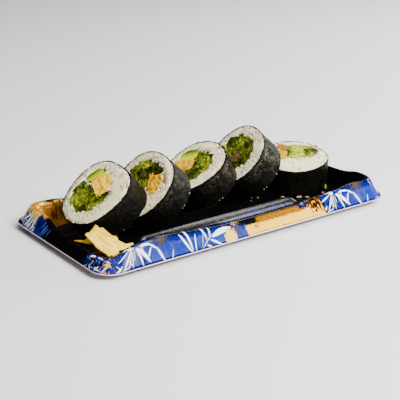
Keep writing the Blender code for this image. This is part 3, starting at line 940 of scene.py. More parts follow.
def make_nori(piece, material):
    """The seaweed round a slice: a drawn-out ring with wrinkles along it, ragged ends and a seam."""
    seed = piece.number * 3.1
    mesh = bmesh.new()
    bmesh.ops.create_circle(mesh, segments=NORI_ROUND, radius=1.0)
    first = edges = mesh.edges[:]
    step = piece.thickness / NORI_ALONG
    walls = [(0.0, -step)] * NORI_ALONG + [(-0.02, 0.0)] + [(0.0, step)] * NORI_ALONG
    for draw_in, down in walls:
        out = bmesh.ops.extrude_edge_only(mesh, edges=edges)["geom"]
        verts = [v for v in out if isinstance(v, bmesh.types.BMVert)]
        edges = [e for e in out if isinstance(e, bmesh.types.BMEdge)]
        bmesh.ops.translate(mesh, verts=verts, vec=(0.0, 0.0, down))
        if draw_in:
            bmesh.ops.scale(mesh, verts=verts, vec=(1.0 + draw_in, 1.0 + draw_in, 1.0))
    bmesh.ops.bridge_loops(mesh, edges=first + edges)
    seam = math.radians(SEAM[piece.number])
    for v in mesh.verts:
        angle = math.atan2(v.co.y, v.co.x)
        inner = v.co.xy.length < 0.99
        z = v.co.z
        radius = piece.radius(angle)
        x, y = toward(angle) * radius
        ridge = abs(rough((x, y, z * 0.5), 2.6, seed))
        crumple = rough((x, y, z * 0.6), 1.3, seed + 5)
        broad = rough((x, y, z * 0.5), 7.0, seed + 9)
        end = min(-z, piece.thickness + z)
        radius += NORI_WRINKLE * ease(end / 1.6 + 0.35) * (0.9 * ridge + 0.35 * crumple + 0.6 * broad - 0.35)
        past = (angle - seam) % (2 * math.pi)
        radius += SEAM_STEP * max(0.0, 1.0 - past / math.radians(SEAM_REACH))
        if inner:
            radius -= NORI_DOUBLED
        ragged = NORI_RAGGED * (rough((x, y, 0.0), 1.1, seed + 2) + rough((x, y, 0.0), 4.0, seed + 3))
        z += ragged * piece.side(z) * ease(1.0 - end / 2.0)
        v.co = (radius * math.cos(angle), radius * math.sin(angle), z)
    bmesh.ops.recalc_face_normals(mesh, faces=mesh.faces[:])
    # Each slice's share of painted sheen is kept as its tone.
    tone = mesh.verts.layers.float.new("tone")
    for v in mesh.verts:
        v[tone] = DRYNESS[piece.number]
    piece.settle(mesh)
    finish_piece(f"seaweed_{piece.number}", mesh, material, "nori", (f"nori_{piece.number}",), 60)


def nori_material():
    """Toasted seaweed: black, with a net of grey olive fibres painted as sheen high up, where light falls,
    more on the slices whose sides are lit.
    """
    wires = start_material("toasted_seaweed", specular_ior_level=0.07)
    local = wires.attribute("local", "Vector")
    fibres = wires.noise(wires.scaled(local, (1.0, 1.0, 0.75)), 0.40, 4.0, 0.6, 1.6)
    net = abs(fibres - 0.5)
    mottle = wires.noise(local, 0.20, 3.0, 0.6, 0.6)
    # The grey fibres are painted sheen: they show only high up on the rolls, where light falls, and as much
    # as each slice's tone allows.
    high = wires.step(wires.parts(wires.place())[2], 18.0, 44.0)
    inside = wires.fall(wires.parts(local)[2], -2.0, -0.6)
    dry = high * wires.step(mottle, 0.42, 0.58) * inside * wires.attribute("tone")
    black = wires.blend(wires.step(mottle, 0.35, 0.65), (0.0010, 0.0009, 0.0006), (0.0030, 0.0027, 0.0016))
    fibre = wires.blend(dry, (0.0045, 0.0040, 0.0022), (0.180, 0.165, 0.100))
    folds = wires.noise(wires.scaled(local, (1.0, 1.0, 0.45)), 0.42, 2.0, 0.5, 0.8)
    return wires.finish(wires.blend(wires.fall(net, 0.004, 0.032), black, fibre),
                        wires.bump(folds - net * 0.5, 1.0), fibres * 0.30 + 0.25)


def grain_form():
    """The points and faces of one grain: blunt, a little bent, lying along X."""
    mesh = bmesh.new()
    bmesh.ops.create_uvsphere(mesh, u_segments=GRAIN_SIDES, v_segments=GRAIN_RINGS, radius=1.0)
    mesh.verts.index_update()
    points = np.array([(v.co.z, v.co.x, v.co.y) for v in mesh.verts])
    faces = [[v.index for v in f.verts] for f in mesh.faces]
    mesh.free()
    return points, faces


def side_of(points, faces, piece, front):
    """Places given over the front cut face, kept there or carried to the back one."""
    if front:
        return points, faces
    points = points * (1.0, 1.0, -1.0) - (0.0, 0.0, piece.thickness)
    return points, [face[::-1] for face in faces]


class Surface:
    """Finds how high a solid's surface lies over one cut face of its slice."""

    ABOVE = 8.0

    def __init__(self, node, piece, front):
        mesh = cad_copy(node, piece)
        self.tree = BVHTree.FromBMesh(mesh)
        mesh.free()
        self.piece, self.front = piece, front

    def covers(self, u, v, floor):
        """Whether the solid lies above this height over a place."""
        face, way = (0.0, -1.0) if self.front else (-self.piece.thickness, 1.0)
        hit = self.tree.ray_cast(Vector((u, v, face - way * self.ABOVE)), Vector((0, 0, way)))[0]
        return hit is not None and (face - hit.z) * way > floor


class Outline:
    """A piece's finished outline on the cut face, kept as how far it reaches from its middle."""

    SAMPLES = 24
    SECTORS = 60

    def __init__(self, corners):
        corners = np.array(corners)
        self.middle = corners.mean(axis=0)
        shares = np.linspace(0.0, 1.0, self.SAMPLES, endpoint=False)[:, None]
        sides = [mix(a, b, shares) for a, b in zip(corners, np.roll(corners, -1, axis=0))]
        self.angles, self.reaches = self.polar(np.vstack(sides))

    def polar(self, points):
        flat = points[:, :2] - self.middle
        return np.arctan2(flat[:, 1], flat[:, 0]), np.hypot(flat[:, 0], flat[:, 1])

    def reach(self, angle):
        return np.interp(angle, self.angles, self.reaches, period=2 * math.pi)

    def holds(self, u, v):
        angle, away = self.polar(np.array([(u, v)]))
        return away[0] < self.reach(angle[0])

    def fit(self, mesh):
        """Draws a mesh in, or out, from its own outline to this one."""
        angle, away = self.polar(np.array([v.co[:] for v in mesh.verts]))
        sector = ((angle + math.pi) / (2 * math.pi) * self.SECTORS).astype(int) % self.SECTORS
        widest = [away[sector == k].max(initial=0.5) for k in range(self.SECTORS)]
        middles = (np.arange(self.SECTORS) + 0.5) / self.SECTORS * 2 * math.pi - math.pi
        change = self.reach(angle) / np.interp(angle, middles, widest, period=2 * math.pi)
        for v, scale in zip(mesh.verts, np.clip(change, 0.3, 1.3)):
            v.co.xy = mix(Vector(self.middle), v.co.xy, scale)


# The golden pieces whose outline differs from the CAD form's. Rice or lettuce fills what is trimmed off.
GOLDEN_CORNERS = {
    "chicken_1": ((-9.0, 5.2), (-7.6, 11.0), (-3.0, 15.4), (1.2, 16.0), (7.5, 13.3), (9.6, 9.7),
                  (9.3, 3.1), (7.4, 0.7), (2.4, -0.6), (-2.5, 1.9)),
    "chicken_2": ((0.9, 7.9), (6.2, 9.4), (10.3, 12.0), (13.4, 10.1), (15.6, 5.7), (16.2, 1.1),
                  (15.7, -1.7), (11.5, -3.9), (7.4, -2.3), (3.0, 3.3)),
    "chicken_4": ((0.2, 5.9), (3.2, 5.0), (2.3, 0.6), (3.9, -3.1), (-0.6, -4.9), (-4.5, -2.6),
                  (-2.3, 0.1), (-1.5, 3.9)),
    "chicken_5": ((-12.0, 20.0), (-8.6, 18.4), (-5.4, 18.7), (-4.7, 12.6), (-7.7, 9.8), (-10.6, 11.3),
                  (-12.6, 14.7)),
    "omelette_5": ((-10.8, 10.6), (-7.3, 9.6), (-4.8, 9.4), (-4.4, -0.6), (-6.1, -6.8), (-9.1, -4.4),
                   (-10.6, 2.5)),
}
GOLDEN_OUTLINES = {node: Outline(corners) for node, corners in GOLDEN_CORNERS.items()}


def trimmed_parts(piece, front):
    """The surface and the outline of each golden piece of a slice whose outline differs."""
    number = f"_{piece.number}"
    return [(Surface(node, piece, front), outline) for node, outline in GOLDEN_OUTLINES.items()
            if node.endswith(number)]


def fills(surface, trimmed, u, v, floor, furthest):
    """Whether a solid covers a place, or borders what is trimmed off a golden piece there."""
    if surface.covers(u, v, floor):
        return True
    for gap, outline in trimmed:
        if gap.covers(u, v, floor) and not outline.holds(u, v):
            way = (Vector((u, v)) - Vector(outline.middle)).normalized()
            steps = range(1, furthest + 1)
            return any(surface.covers(u + way.x * k, v + way.y * k, floor) for k in steps)
    return False


def lay_grain(form, u, v, size, angle, tip, bend):
    """One grain's points at a place, with its own size, bend and turn."""
    shape = form[0] * np.array(size) / 2
    shape[:, 1] += bend * form[0][:, 0] ** 2
    shape[:, 2] += shape[:, 0] * tip
    return np.column_stack((u + shape[:, 0] * math.cos(angle) - shape[:, 1] * math.sin(angle),
                            v + shape[:, 0] * math.sin(angle) + shape[:, 1] * math.cos(angle),
                            shape[:, 2]))


def scatter_grains(pile, piece, front, form, draw):
    """Grains side by side on the rice of one cut face, pressed flat by the knife."""
    surface = Surface(f"rice_{piece.number}", piece, front)
    trimmed = trimmed_parts(piece, front)
    reach = piece.radius(0.0) - NORI
    taken = np.zeros((0, 2))
    for _ in range(GRAIN_TRIES):
        u, v = draw.uniform(-reach, reach), draw.uniform(-reach, reach)
        away = math.hypot(u, v)
        limit = piece.radius(math.atan2(v, u)) - NORI - 0.5
        if away > limit or not fills(surface, trimmed, u, v, RICE_FLOOR, RICE_FILLS):
            continue
        if len(taken) and np.min((taken[:, 0] - u) ** 2 + (taken[:, 1] - v) ** 2) < GRAIN_APART ** 2:
            continue
        taken = np.vstack((taken, (u, v)))
        angle = draw.uniform(0, math.pi)
        if away > limit - RIM_GRAINS:
            angle = math.atan2(v, u) + math.pi / 2 + draw.uniform(-0.5, 0.5)
        length = GRAIN_LENGTH * draw.uniform(*GRAIN_LENGTHS)
        end = GRAIN_ENDS * length * toward(angle)
        if not all(fills(surface, trimmed, u + end.x * k, v + end.y * k, RICE_FLOOR, RICE_FILLS)
                   for k in (-1, 1)):
            length *= GRAIN_CROWDED
        size = (length, GRAIN_WIDTH * draw.uniform(*GRAIN_WIDTHS), GRAIN_THICK * draw.uniform(*GRAIN_WIDTHS))
        tip, bend = draw.gauss(0.0, GRAIN_TIP), draw.choice((-GRAIN_BEND, GRAIN_BEND))
        laid = lay_grain(form, u, v, size, angle, tip, bend)
        crown = FACE_CROWN * (1.0 - (away / reach) ** 2)
        uneven = mix(0.05, 0.15, (away / reach) ** 4)
        laid[:, 2] += crown - GRAIN_SUNK + draw.gauss(0.0, uneven)
        over = np.maximum(laid[:, 2] - (crown + draw.uniform(-uneven, uneven)), 0.0)
        laid[:, 2] -= over * GRAIN_PRESSED
        wall = piece.radius(np.arctan2(laid[:, 1], laid[:, 0])) - NORI - 0.04
        squeeze = np.minimum(1.0, wall / np.maximum(np.hypot(laid[:, 0], laid[:, 1]), 1e-6))
        laid[:, :2] *= squeeze[:, None]
        pile.add(*side_of(laid, form[1], piece, front), draw.random())


def make_rice(piece, material, form):
    """Grains over a core that is the CAD rice, let down a little below the cut faces."""
    name = f"rice_grains_{piece.number}"
    core = cad_copy(f"rice_{piece.number}", piece)
    tone = core.verts.layers.float.new("tone")
    for v in core.verts:
        down = min(1.0, max(0.0, (v.co.z + 4.0) / 3.0))
        up = min(1.0, max(0.0, (-piece.thickness + 4.0 - v.co.z) / 3.0))
        v.co.z += CORE_BELOW * (up - down)
        v[tone] = 0.4
    piece.settle(core)
    finish_piece(f"rice_core_{piece.number}", core, material, "rice", (f"rice_{piece.number}",), 50)
    pile = Pile()
    draw = random.Random(RICE_SEED + piece.number)
    for front in (True, False):
        scatter_grains(pile, piece, front, form, draw)
    add_object(name, pile.mesh(name, piece), material, "rice")


# The heart, the pale and the shaded colours of cooked rice, and of the crumbs on the tray and the scraps on
# the slices' rims, painted darker as shade.
RICE_TINTS = ((0.78, 0.66, 0.35), (0.91, 0.80, 0.49), (0.80, 0.69, 0.41))
SOAKED_TINTS = ((0.16, 0.15, 0.10), (0.30, 0.29, 0.20), (0.10, 0.10, 0.07))


def rice_material(name, heart, pale, shade):
    """Cooked rice: pale with a warm heart, glossy where it is moist."""
    wires = start_material(name, subsurface_weight=0.6, subsurface_scale=0.0022, specular_ior_level=0.4,
                           subsurface_radius=(1.0, 0.85, 0.65))
    place = wires.place()
    cloudy = wires.noise(place, 0.7, 3.0)
    body = wires.blend(wires.attribute("tone"), heart, pale)
    return wires.finish(wires.blend(wires.step(cloudy, 0.42, 0.70) * 0.55, body, shade),
                        wires.bump(wires.noise(place, 2.6, 3.0), 0.12), cloudy * 0.25 + 0.36)


# The fillings

# Where the lettuce of each slice is dark or pale on the cut face, from its deep green frills and from
# painted shade among the shreds: middle, reach and tone.
LETTUCE_TONES = {
    1: (((-14.3, 3.7), 2.6, 0.15), ((-16.5, -4.1), 2.4, 0.25), ((-11.0, -10.0), 4.5, 0.9),
        ((-8.0, -3.5), 3.5, 0.75), ((2.0, -12.0), 3.4, 0.1), ((8.0, -9.5), 2.8, 0.7),
        ((4.0, -4.0), 2.8, 0.45), ((7.0, -0.8), 2.4, 0.3), ((10.2, 3.2), 2.6, 0.05),
        ((-4.9, 1.5), 2.6, 0.15), ((-4.0, -10.0), 3.0, 0.7), ((-10.0, 1.0), 2.4, 0.45)),
    2: (((-10.0, 12.5), 4.6, 0.95), ((-14.0, 9.5), 3.0, 0.8), ((-5.0, 14.5), 3.0, 0.8),
        ((-1.6, 11.0), 2.6, 0.05), ((3.0, 14.0), 2.6, 0.1), ((2.2, 11.0), 1.6, 0.55),
        ((7.0, 12.5), 2.4, 0.1), ((-9.2, 5.9), 3.2, 0.2), ((-4.1, 7.1), 3.2, 0.1),
        ((-0.5, 1.5), 3.4, 0.55), ((-5.5, 1.5), 3.4, 0.5), ((4.5, -1.5), 2.8, 0.45)),
    3: (((3.0, 11.4), 3.6, 0.8), ((9.2, 12.0), 2.6, 0.6), ((6.0, 16.0), 2.6, 0.1),
        ((0.0, 14.5), 2.4, 0.35), ((6.8, 5.3), 3.4, 0.7), ((8.7, 0.9), 2.6, 0.1),
        ((8.7, -4.1), 2.8, 0.15), ((14.0, 1.4), 3.0, 0.8), ((1.0, 5.5), 2.4, 0.2),
        ((3.0, -2.0), 2.6, 0.2), ((4.0, -8.0), 3.0, 0.35), ((12.0, 7.0), 2.6, 0.75)),
    4: (((-5.0, 11.7), 4.0, 0.8), ((-15.0, 8.9), 3.0, 0.15), ((-12.7, 12.0), 2.4, 0.2),
        ((3.8, 12.2), 2.4, 0.1), ((7.4, -1.6), 3.2, 0.1), ((-7.7, 4.9), 3.2, 0.35),
        ((4.8, 6.5), 3.0, 0.6), ((-12.0, 0.5), 3.4, 0.5), ((9.5, 4.0), 2.0, 0.3), ((2.0, -8.0), 3.0, 0.2),
        ((-6.0, -6.0), 3.0, 0.4), ((0.0, 16.0), 2.4, 0.7)),
    5: (((1.0, 13.8), 4.5, 0.95), ((-4.2, 9.5), 2.6, 0.15), ((4.8, 8.9), 4.0, 0.85),
        ((2.6, 1.0), 4.0, 1.0), ((9.6, 12.0), 2.4, 0.0), ((9.4, 5.0), 2.2, 0.1),
        ((14.0, 10.0), 1.8, 0.05), ((13.0, 4.5), 3.0, 0.95), ((12.5, 14.0), 1.8, 0.5),
        ((17.0, 8.0), 1.6, 0.2)),
}
LETTUCE_BASE = {1: 0.5, 2: 0.45, 3: 0.5, 4: 0.45, 5: 0.75}
# The leaf's colours from deep green to the pale heart.
LETTUCE_GREENS = (
    (0.009, 0.016, 0.0005), (0.046, 0.062, 0.0020), (0.150, 0.185, 0.0080), (0.44, 0.49, 0.030),
)


def lettuce_tone(piece, u, v):
    """How pale the lettuce is at a place: from 0, deep green with painted shade, to 1, pale."""
    total, weight = LETTUCE_BASE[piece.number] * 0.25, 0.25
    for (mu, mv), reach, tone in LETTUCE_TONES[piece.number]:
        near = 2.0 * math.exp(-((u - mu) ** 2 + (v - mv) ** 2) / (reach * 0.75) ** 2)
        total += near * tone
        weight += near
    return total / weight


def leaf_strip(u, v, angle, length, top, draw):
    """One shred of leaf: a thin wavy strip that stands in the face and leans over."""
    depth = draw.uniform(*LEAF_DEPTH)
    tilt = draw.uniform(*LEAF_TILT) * draw.choice((-1, 1))
    steps = np.linspace(0.0, 1.0, LEAF_STEPS)
    curl = draw.uniform(*LEAF_CURL) * np.sin(steps * draw.uniform(*LEAF_CURLS) + draw.random() * 6)
    heading = angle + draw.uniform(-LEAF_BEND, LEAF_BEND) * (steps - 0.5) + curl
    path = np.column_stack((np.cumsum(np.cos(heading)), np.cumsum(np.sin(heading)))) * length / LEAF_STEPS
    path += (u, v) - path.mean(axis=0)
    side = np.column_stack((-np.sin(heading), np.cos(heading)))
    frill = draw.uniform(*FRILL_SIZE) * np.sin(steps * length * draw.uniform(*FRILL_RATE)
                                               + draw.random() * 6)
    taper = np.sqrt(np.clip(4.0 * steps * (1.0 - steps), 0.0, 1.0))
    half = LEAF_THICK / 2 * (0.45 + 0.55 * taper)
    rows = []
    for sign, shares in ((1.0, (0.0, 0.5, 1.0)), (-1.0, (1.0, 0.5, 0.0))):
        for share in shares:
            shift = LEAF_FRILL * frill * (1.0 - share) ** 1.5 + share * depth * math.sin(tilt) + sign * half
            level = top - share * depth * math.cos(tilt) - (1.0 - taper) * 0.5
            rows.append(np.column_stack((path + side * shift[:, None], level)))
    around = len(rows)
    faces = []
    for k in range(around):
        n = (k + 1) % around * LEAF_STEPS
        m = k * LEAF_STEPS
        faces += [[m + i, m + i + 1, n + i + 1, n + i] for i in range(LEAF_STEPS - 1)]
    faces.append([k * LEAF_STEPS for k in range(around)])
    faces.append([k * LEAF_STEPS + LEAF_STEPS - 1 for k in reversed(range(around))])
    return np.vstack(rows), faces


def make_lettuce(piece, material):
    """Shreds of leaf over a core of the lettuce's own form."""
    number = piece.number
    name = f"lettuce_leaves_{number}"
    draw = random.Random(LETTUCE_SEED + number)
    core = remeshed(cad_copy(f"lettuce_{number}", piece), LEAFY_VOXELS)
    core.normal_update()
    tone = core.verts.layers.float.new("tone")
    for v in core.verts:
        side = piece.side(v.co.z)
        if v.normal.z * side > 0.3:
            v.co.z -= side * (0.9 + 0.6 * rough(v.co, 2.2, number))
        v[tone] = 0.7 * lettuce_tone(piece, v.co.x, v.co.y) + 0.14 * rough(v.co, 2.4, number + 3)
    piece.settle(core)
    finish_piece(f"lettuce_core_{number}", core, material, "lettuce", (f"lettuce_{number}",))
    pile = Pile()
    for front in (True, False):
        surface = Surface(f"lettuce_{number}", piece, front)
        trimmed = trimmed_parts(piece, front)
        wanted = LEAVES if front else LEAVES // 2
        for _ in range(LEAF_TRIES):
            u, v = draw.uniform(*FACE_ACROSS), draw.uniform(*FACE_UP)
            angle = draw.uniform(0, 2 * math.pi)
            length = draw.uniform(*LEAF_LENGTH)
            end = toward(angle) * length * LEAF_ENDS
            if not all(fills(surface, trimmed, u + end.x * k, v + end.y * k, FILLING_FLOOR, LETTUCE_FILLS)
                       for k in (-1, 0, 1)):
                continue
            shade = min(max(lettuce_tone(piece, u, v) + draw.gauss(0.0, TONE_VARIES), 0.0), 1.0)
            top = 0.2 + draw.uniform(*LEAF_TOP) + (DARK_RISE if shade < DARK_TONE else 0.0)
            pile.add(*side_of(*leaf_strip(u, v, angle, length, top, draw), piece, front), shade)
            wanted -= 1
            if not wanted:
                break
    for roll, u, v, angle, length, shade in STRAY_LEAVES:
        if roll == number:
            pile.add(*leaf_strip(u, v, angle, length, STRAY_TOP, draw), shade)
    add_object(name, pile.mesh(name, piece), material, "lettuce")


def lettuce_material():
    """Lettuce from deep green frills, darkened further where its tone holds painted shade, to its pale
    heart, thin enough to let light through.
    """
    wires = start_material("shredded_lettuce", roughness=0.42, specular_ior_level=0.12,
                           subsurface_weight=0.2, subsurface_scale=0.0008)
    local = wires.attribute("local", "Vector")
    veins = wires.noise(wires.scaled(local, (1.0, 1.0, 0.4)), 0.55, 3.0, 0.5, 0.8)
    tone = wires.math("ADD", wires.attribute("tone"), (veins - 0.5) * 0.36, clamp=True)
    body = LETTUCE_GREENS[0]
    for green, (low, high) in zip(LETTUCE_GREENS[1:], ((0.05, 0.36), (0.30, 0.62), (0.60, 0.95))):
        body = wires.blend(wires.step(tone, low, high), body, green)
    return wires.finish(body, wires.bump(veins, 0.25))


# Which way the browned crust of each golden piece faces on the cut face, and how its strands run.
CRUST = {1: (-0.95, 0.15), 2: (-0.75, -0.65), 3: (0.7, -0.7), 4: (0.0, 0.0), 5: (-0.3, 0.95)}
STRANDS = {1: -0.55, 2: -0.35, 3: 0.9, 4: 0.3, 5: 1.5}
# Brown veins on the cut face: slice, and the vein's two ends.
VEINS = (
    (1, (3.0, 5.8), (4.9, 1.7)), (2, (6.6, 8.4), (5.9, 4.0)), (2, (1.4, 7.4), (3.8, 3.6)),
    (2, (11.4, -4.6), (12.6, -4.4)), (3, (-2.0, 0.0), (-3.4, -3.6)),
)
VEIN_REACH = 0.5
STRAND_COUNT = 48
STRAND_TRIES = 14
STRAND_LENGTH = (2.6, 6.5)
STRAND_WIDTH = (0.5, 1.1)
STRAND_THICK = 0.45
STRAND_STRAY = 0.22
# The pale, the deep and the crust colours of each slice's golden piece, and of the omelette.
DEEP_GOLD = ((0.66, 0.37, 0.010), (0.46, 0.20, 0.004), (0.13, 0.025, 0.001))
GOLDEN_TINTS = {
    1: ((0.93, 0.58, 0.020), (0.72, 0.36, 0.006), (0.20, 0.050, 0.002)),
    2: DEEP_GOLD,
    3: DEEP_GOLD,
    4: ((0.14, 0.085, 0.024), (0.07, 0.035, 0.008), (0.05, 0.015, 0.003)),
    5: ((0.28, 0.125, 0.0005), (0.17, 0.062, 0.0003), (0.09, 0.022, 0.0002)),
}
EGG = ((0.44, 0.28, 0.0005), (0.31, 0.17, 0.0003), (0.20, 0.085, 0.0002))


def golden_tone(piece, furthest, u, v):
    """How browned a golden piece is at a place: its crust side and its veins."""
    facing = Vector(CRUST[piece.number])
    tone = 0.9 * ease((Vector((u, v)).dot(facing) - furthest + 2.6) / 2.8) if facing.length else 0.0
    for roll, first, last in VEINS:
        if roll == piece.number:
            near, share = geometry.intersect_point_line((u, v), first, last)
            near = Vector(first).lerp(Vector(last), min(max(share, 0.0), 1.0))
            tone = max(tone, ease(1.5 - (Vector((u, v)) - near).length / VEIN_REACH))
    return tone


def make_golden(piece, node, name, slot, material, form):
    """A fibrous piece of filling: the CAD form with torn sides, and strands over its cut faces."""
    number = piece.number
    mesh = remeshed(cad_copy(node, piece), FINE_VOXELS)
    outline = GOLDEN_OUTLINES.get(node)
    if outline:
        outline.fit(mesh)
    mesh.normal_update()
    tone = mesh.verts.layers.float.new("tone")
    facing = Vector(CRUST[number])
    furthest = max(v.co.xy.dot(facing) for v in mesh.verts)
    turn = Matrix.Rotation(-STRANDS[number], 3, "Z")
    for v in mesh.verts:
        strand = turn @ v.co
        lift = 0.34 * rough((strand.x * 0.3, strand.y, strand.z * 0.3), 1.1, number)
        lift += 0.5 * rough(v.co, 3.0, number + 4)
        v[tone] = golden_tone(piece, furthest, v.co.x, v.co.y)
        if abs(v.normal.z) > 0.4:
            v.co.z += lift * piece.side(v.co.z)
        else:
            torn = 0.9 * rough(v.co, 3.4, number + 8) + 0.4 * rough(v.co, 1.3, number + 9)
            v.co += v.normal * (torn - 0.1)
    piece.settle(mesh)
    finish_piece(name, mesh, material, slot, (node,))
    pile = Pile()
    draw = random.Random(GOLDEN_SEED + number + len(name))
    for front in (True, False):
        surface = Surface(node, piece, front)
        wanted = STRAND_COUNT if front else STRAND_COUNT // 2
        for _ in range(wanted * STRAND_TRIES):
            u, v = draw.uniform(*FACE_ACROSS), draw.uniform(*FACE_UP)
            if not surface.covers(u, v, FILLING_FLOOR) or (outline and not outline.holds(u, v)):
                continue
            sizes = (draw.uniform(*STRAND_LENGTH), draw.uniform(*STRAND_WIDTH), STRAND_THICK)
            angle = STRANDS[number] + draw.gauss(0.0, STRAND_STRAY)
            laid = lay_grain(form, u, v, sizes, angle, draw.gauss(0.0, 0.05), draw.uniform(-0.5, 0.5))
            laid[:, 2] += 0.12 + 0.5 * rough((u, v, 0.0), 3.0, number + 4)
            least = 0.3 * draw.random()
            shade = [max(golden_tone(piece, furthest, *p[:2]), least) for p in laid]
            pile.add(*side_of(laid, form[1], piece, front), shade)
            wanted -= 1
            if not wanted:
                break
    name = name.replace("piece", "strands")
    add_object(name, pile.mesh(name, piece), material, slot)


def golden_material(name, pale, deep, crust, turn):
    """Cooked filling with strands of two colours and a browned crust."""
    wires = start_material(name, roughness=0.45, subsurface_weight=0.2, subsurface_scale=0.001,
                           specular_ior_level=0.10)
    local = wires.attribute("local", "Vector")
    strands = wires.noise(wires.scaled(local, (0.35, 1.0, 0.35), -turn), 1.0, 4.0, 0.6, 0.5)
    patches = wires.noise(local, 0.28, 3.0, 0.6)
    tone = wires.attribute("tone")
    body = wires.blend(wires.step(strands, 0.46, 0.68) * 0.75, pale, deep)
    body = wires.blend(wires.step(patches, 0.52, 0.7) * 0.5, body, deep)
    body = wires.blend(wires.step(tone + (patches - 0.5), 0.1, 0.5), body, deep)
    body = wires.blend(wires.step(tone + (strands - 0.5), 0.55, 0.95), body, crust)
    return wires.finish(body, wires.bump(strands, 0.3))


# The avocado's rind side, as two places on the cut face that it runs through.
RIND = {1: ((-16.3, 5.6), (-11.5, 16.6)), 3: ((-20.2, 4.2), (-10.4, 13.4))}


def make_avocado(piece, material):
    """A smooth piece that stores how far it is from its rind side."""
    node = f"avocado_{piece.number}"
    mesh = remeshed(cad_copy(node, piece), FINE_VOXELS)
    tone = mesh.verts.layers.float.new("tone")
    first, last = (Vector(p) for p in RIND[piece.number])
    run = (last - first).normalized()
    for v in mesh.verts:
        v[tone] = (v.co.xy - first).dot(Vector((run.y, -run.x))) / 8.0 + 0.12
    piece.settle(mesh)
    finish_piece(f"avocado_slice_{piece.number}", mesh, material, "avocado", (node,))


def avocado_material():
    """Ripe avocado: bright green by its rind, then yellow green and pale yellow."""
    wires = start_material("ripe_avocado", roughness=0.36, subsurface_weight=0.25, subsurface_scale=0.001,
                           specular_ior_level=0.2)
    local = wires.attribute("local", "Vector")
    depth = wires.attribute("tone") + (wires.noise(local, 0.45, 3.0) - 0.5) * 0.12
    green = wires.blend(wires.step(depth, 0.10, 0.30), (0.045, 0.125, 0.0003), (0.25, 0.33, 0.0006))
    return wires.finish(wires.blend(wires.step(depth, 0.30, 0.75), green, (0.60, 0.53, 0.004)),
                        wires.bump(wires.noise(local, 1.6, 3.0), 0.08))


# The ginger

# Each slice of ginger lies between four corners, whose heights are above the tray's floor, with its
# thickness and how high its waves are.
GINGER = {
    1: (((-110.4, -20.0, 16.9), (-99.6, -15.0, 19.4), (-82.4, -37.0, 10.6), (-106.4, -42.0, 9.6)), 2.2, 0.8),
    2: (((-110.4, -8.4, 8.6), (-101.0, -12.0, 9.6), (-94.0, -27.5, 9.8), (-104.5, -29.0, 10.9)), 1.6, 0.4),
    3: (((-108.6, -25.0, 7.0), (-98.6, -24.6, 6.0), (-98.0, -41.6, 6.8), (-106.4, -43.4, 9.4)), 1.6, 0.5),
    4: (((-104.0, -15.6, 4.6), (-90.6, -17.6, 1.9), (-88.6, -32.0, 1.9), (-104.0, -34.0, 4.6)), 1.8, 0.3),
}
GINGER_COLUMNS = 46
GINGER_ROWS = 60
# Each slice's torn outline, as shares between its corners: its left and right edges down its length, then
# its near and far ends across it.
GINGER_TORN = {
    1: (((0.0, 0.02), (0.55, -0.04), (1.0, 0.0)),
        ((0.05, 0.97), (0.145, 0.88), (0.17, 1.02), (0.28, 0.94), (0.46, 0.85), (0.57, 0.91), (0.65, 0.81),
         (0.85, 0.79), (0.91, 0.98), (1.0, 0.9)),
        ((0.0, 0.05), (1.0, 0.04)),
        ((0.0, 0.97), (0.12, 1.07), (0.32, 1.07), (0.4, 1.01), (0.56, 1.05), (1.0, 1.02))),
    2: (((0.0, 0.0), (1.0, 0.1)), ((0.0, 1.0), (0.4, 0.8), (0.7, 1.05), (1.0, 0.9)),
        ((0.0, 0.0), (0.5, 0.08), (1.0, 0.0)), ((0.0, 1.0), (1.0, 1.0))),
    3: (((0.0, 0.1), (0.3, -0.08), (0.6, 0.1), (1.0, -0.1)), ((0.0, 1.0), (1.0, 1.0)),
        ((0.0, 0.0), (1.0, 0.0)), ((0.0, 1.05), (0.3, 0.9), (0.6, 1.1), (1.0, 0.95))),
    4: (((0.0, 0.0), (0.4, 0.12), (0.7, -0.05), (1.0, 0.1)), ((0.0, 1.0), (1.0, 1.0)),
        ((0.0, 0.0), (1.0, 0.0)), ((0.0, 0.95), (0.25, 1.08), (0.5, 0.92), (0.8, 1.06), (1.0, 1.0))),
}


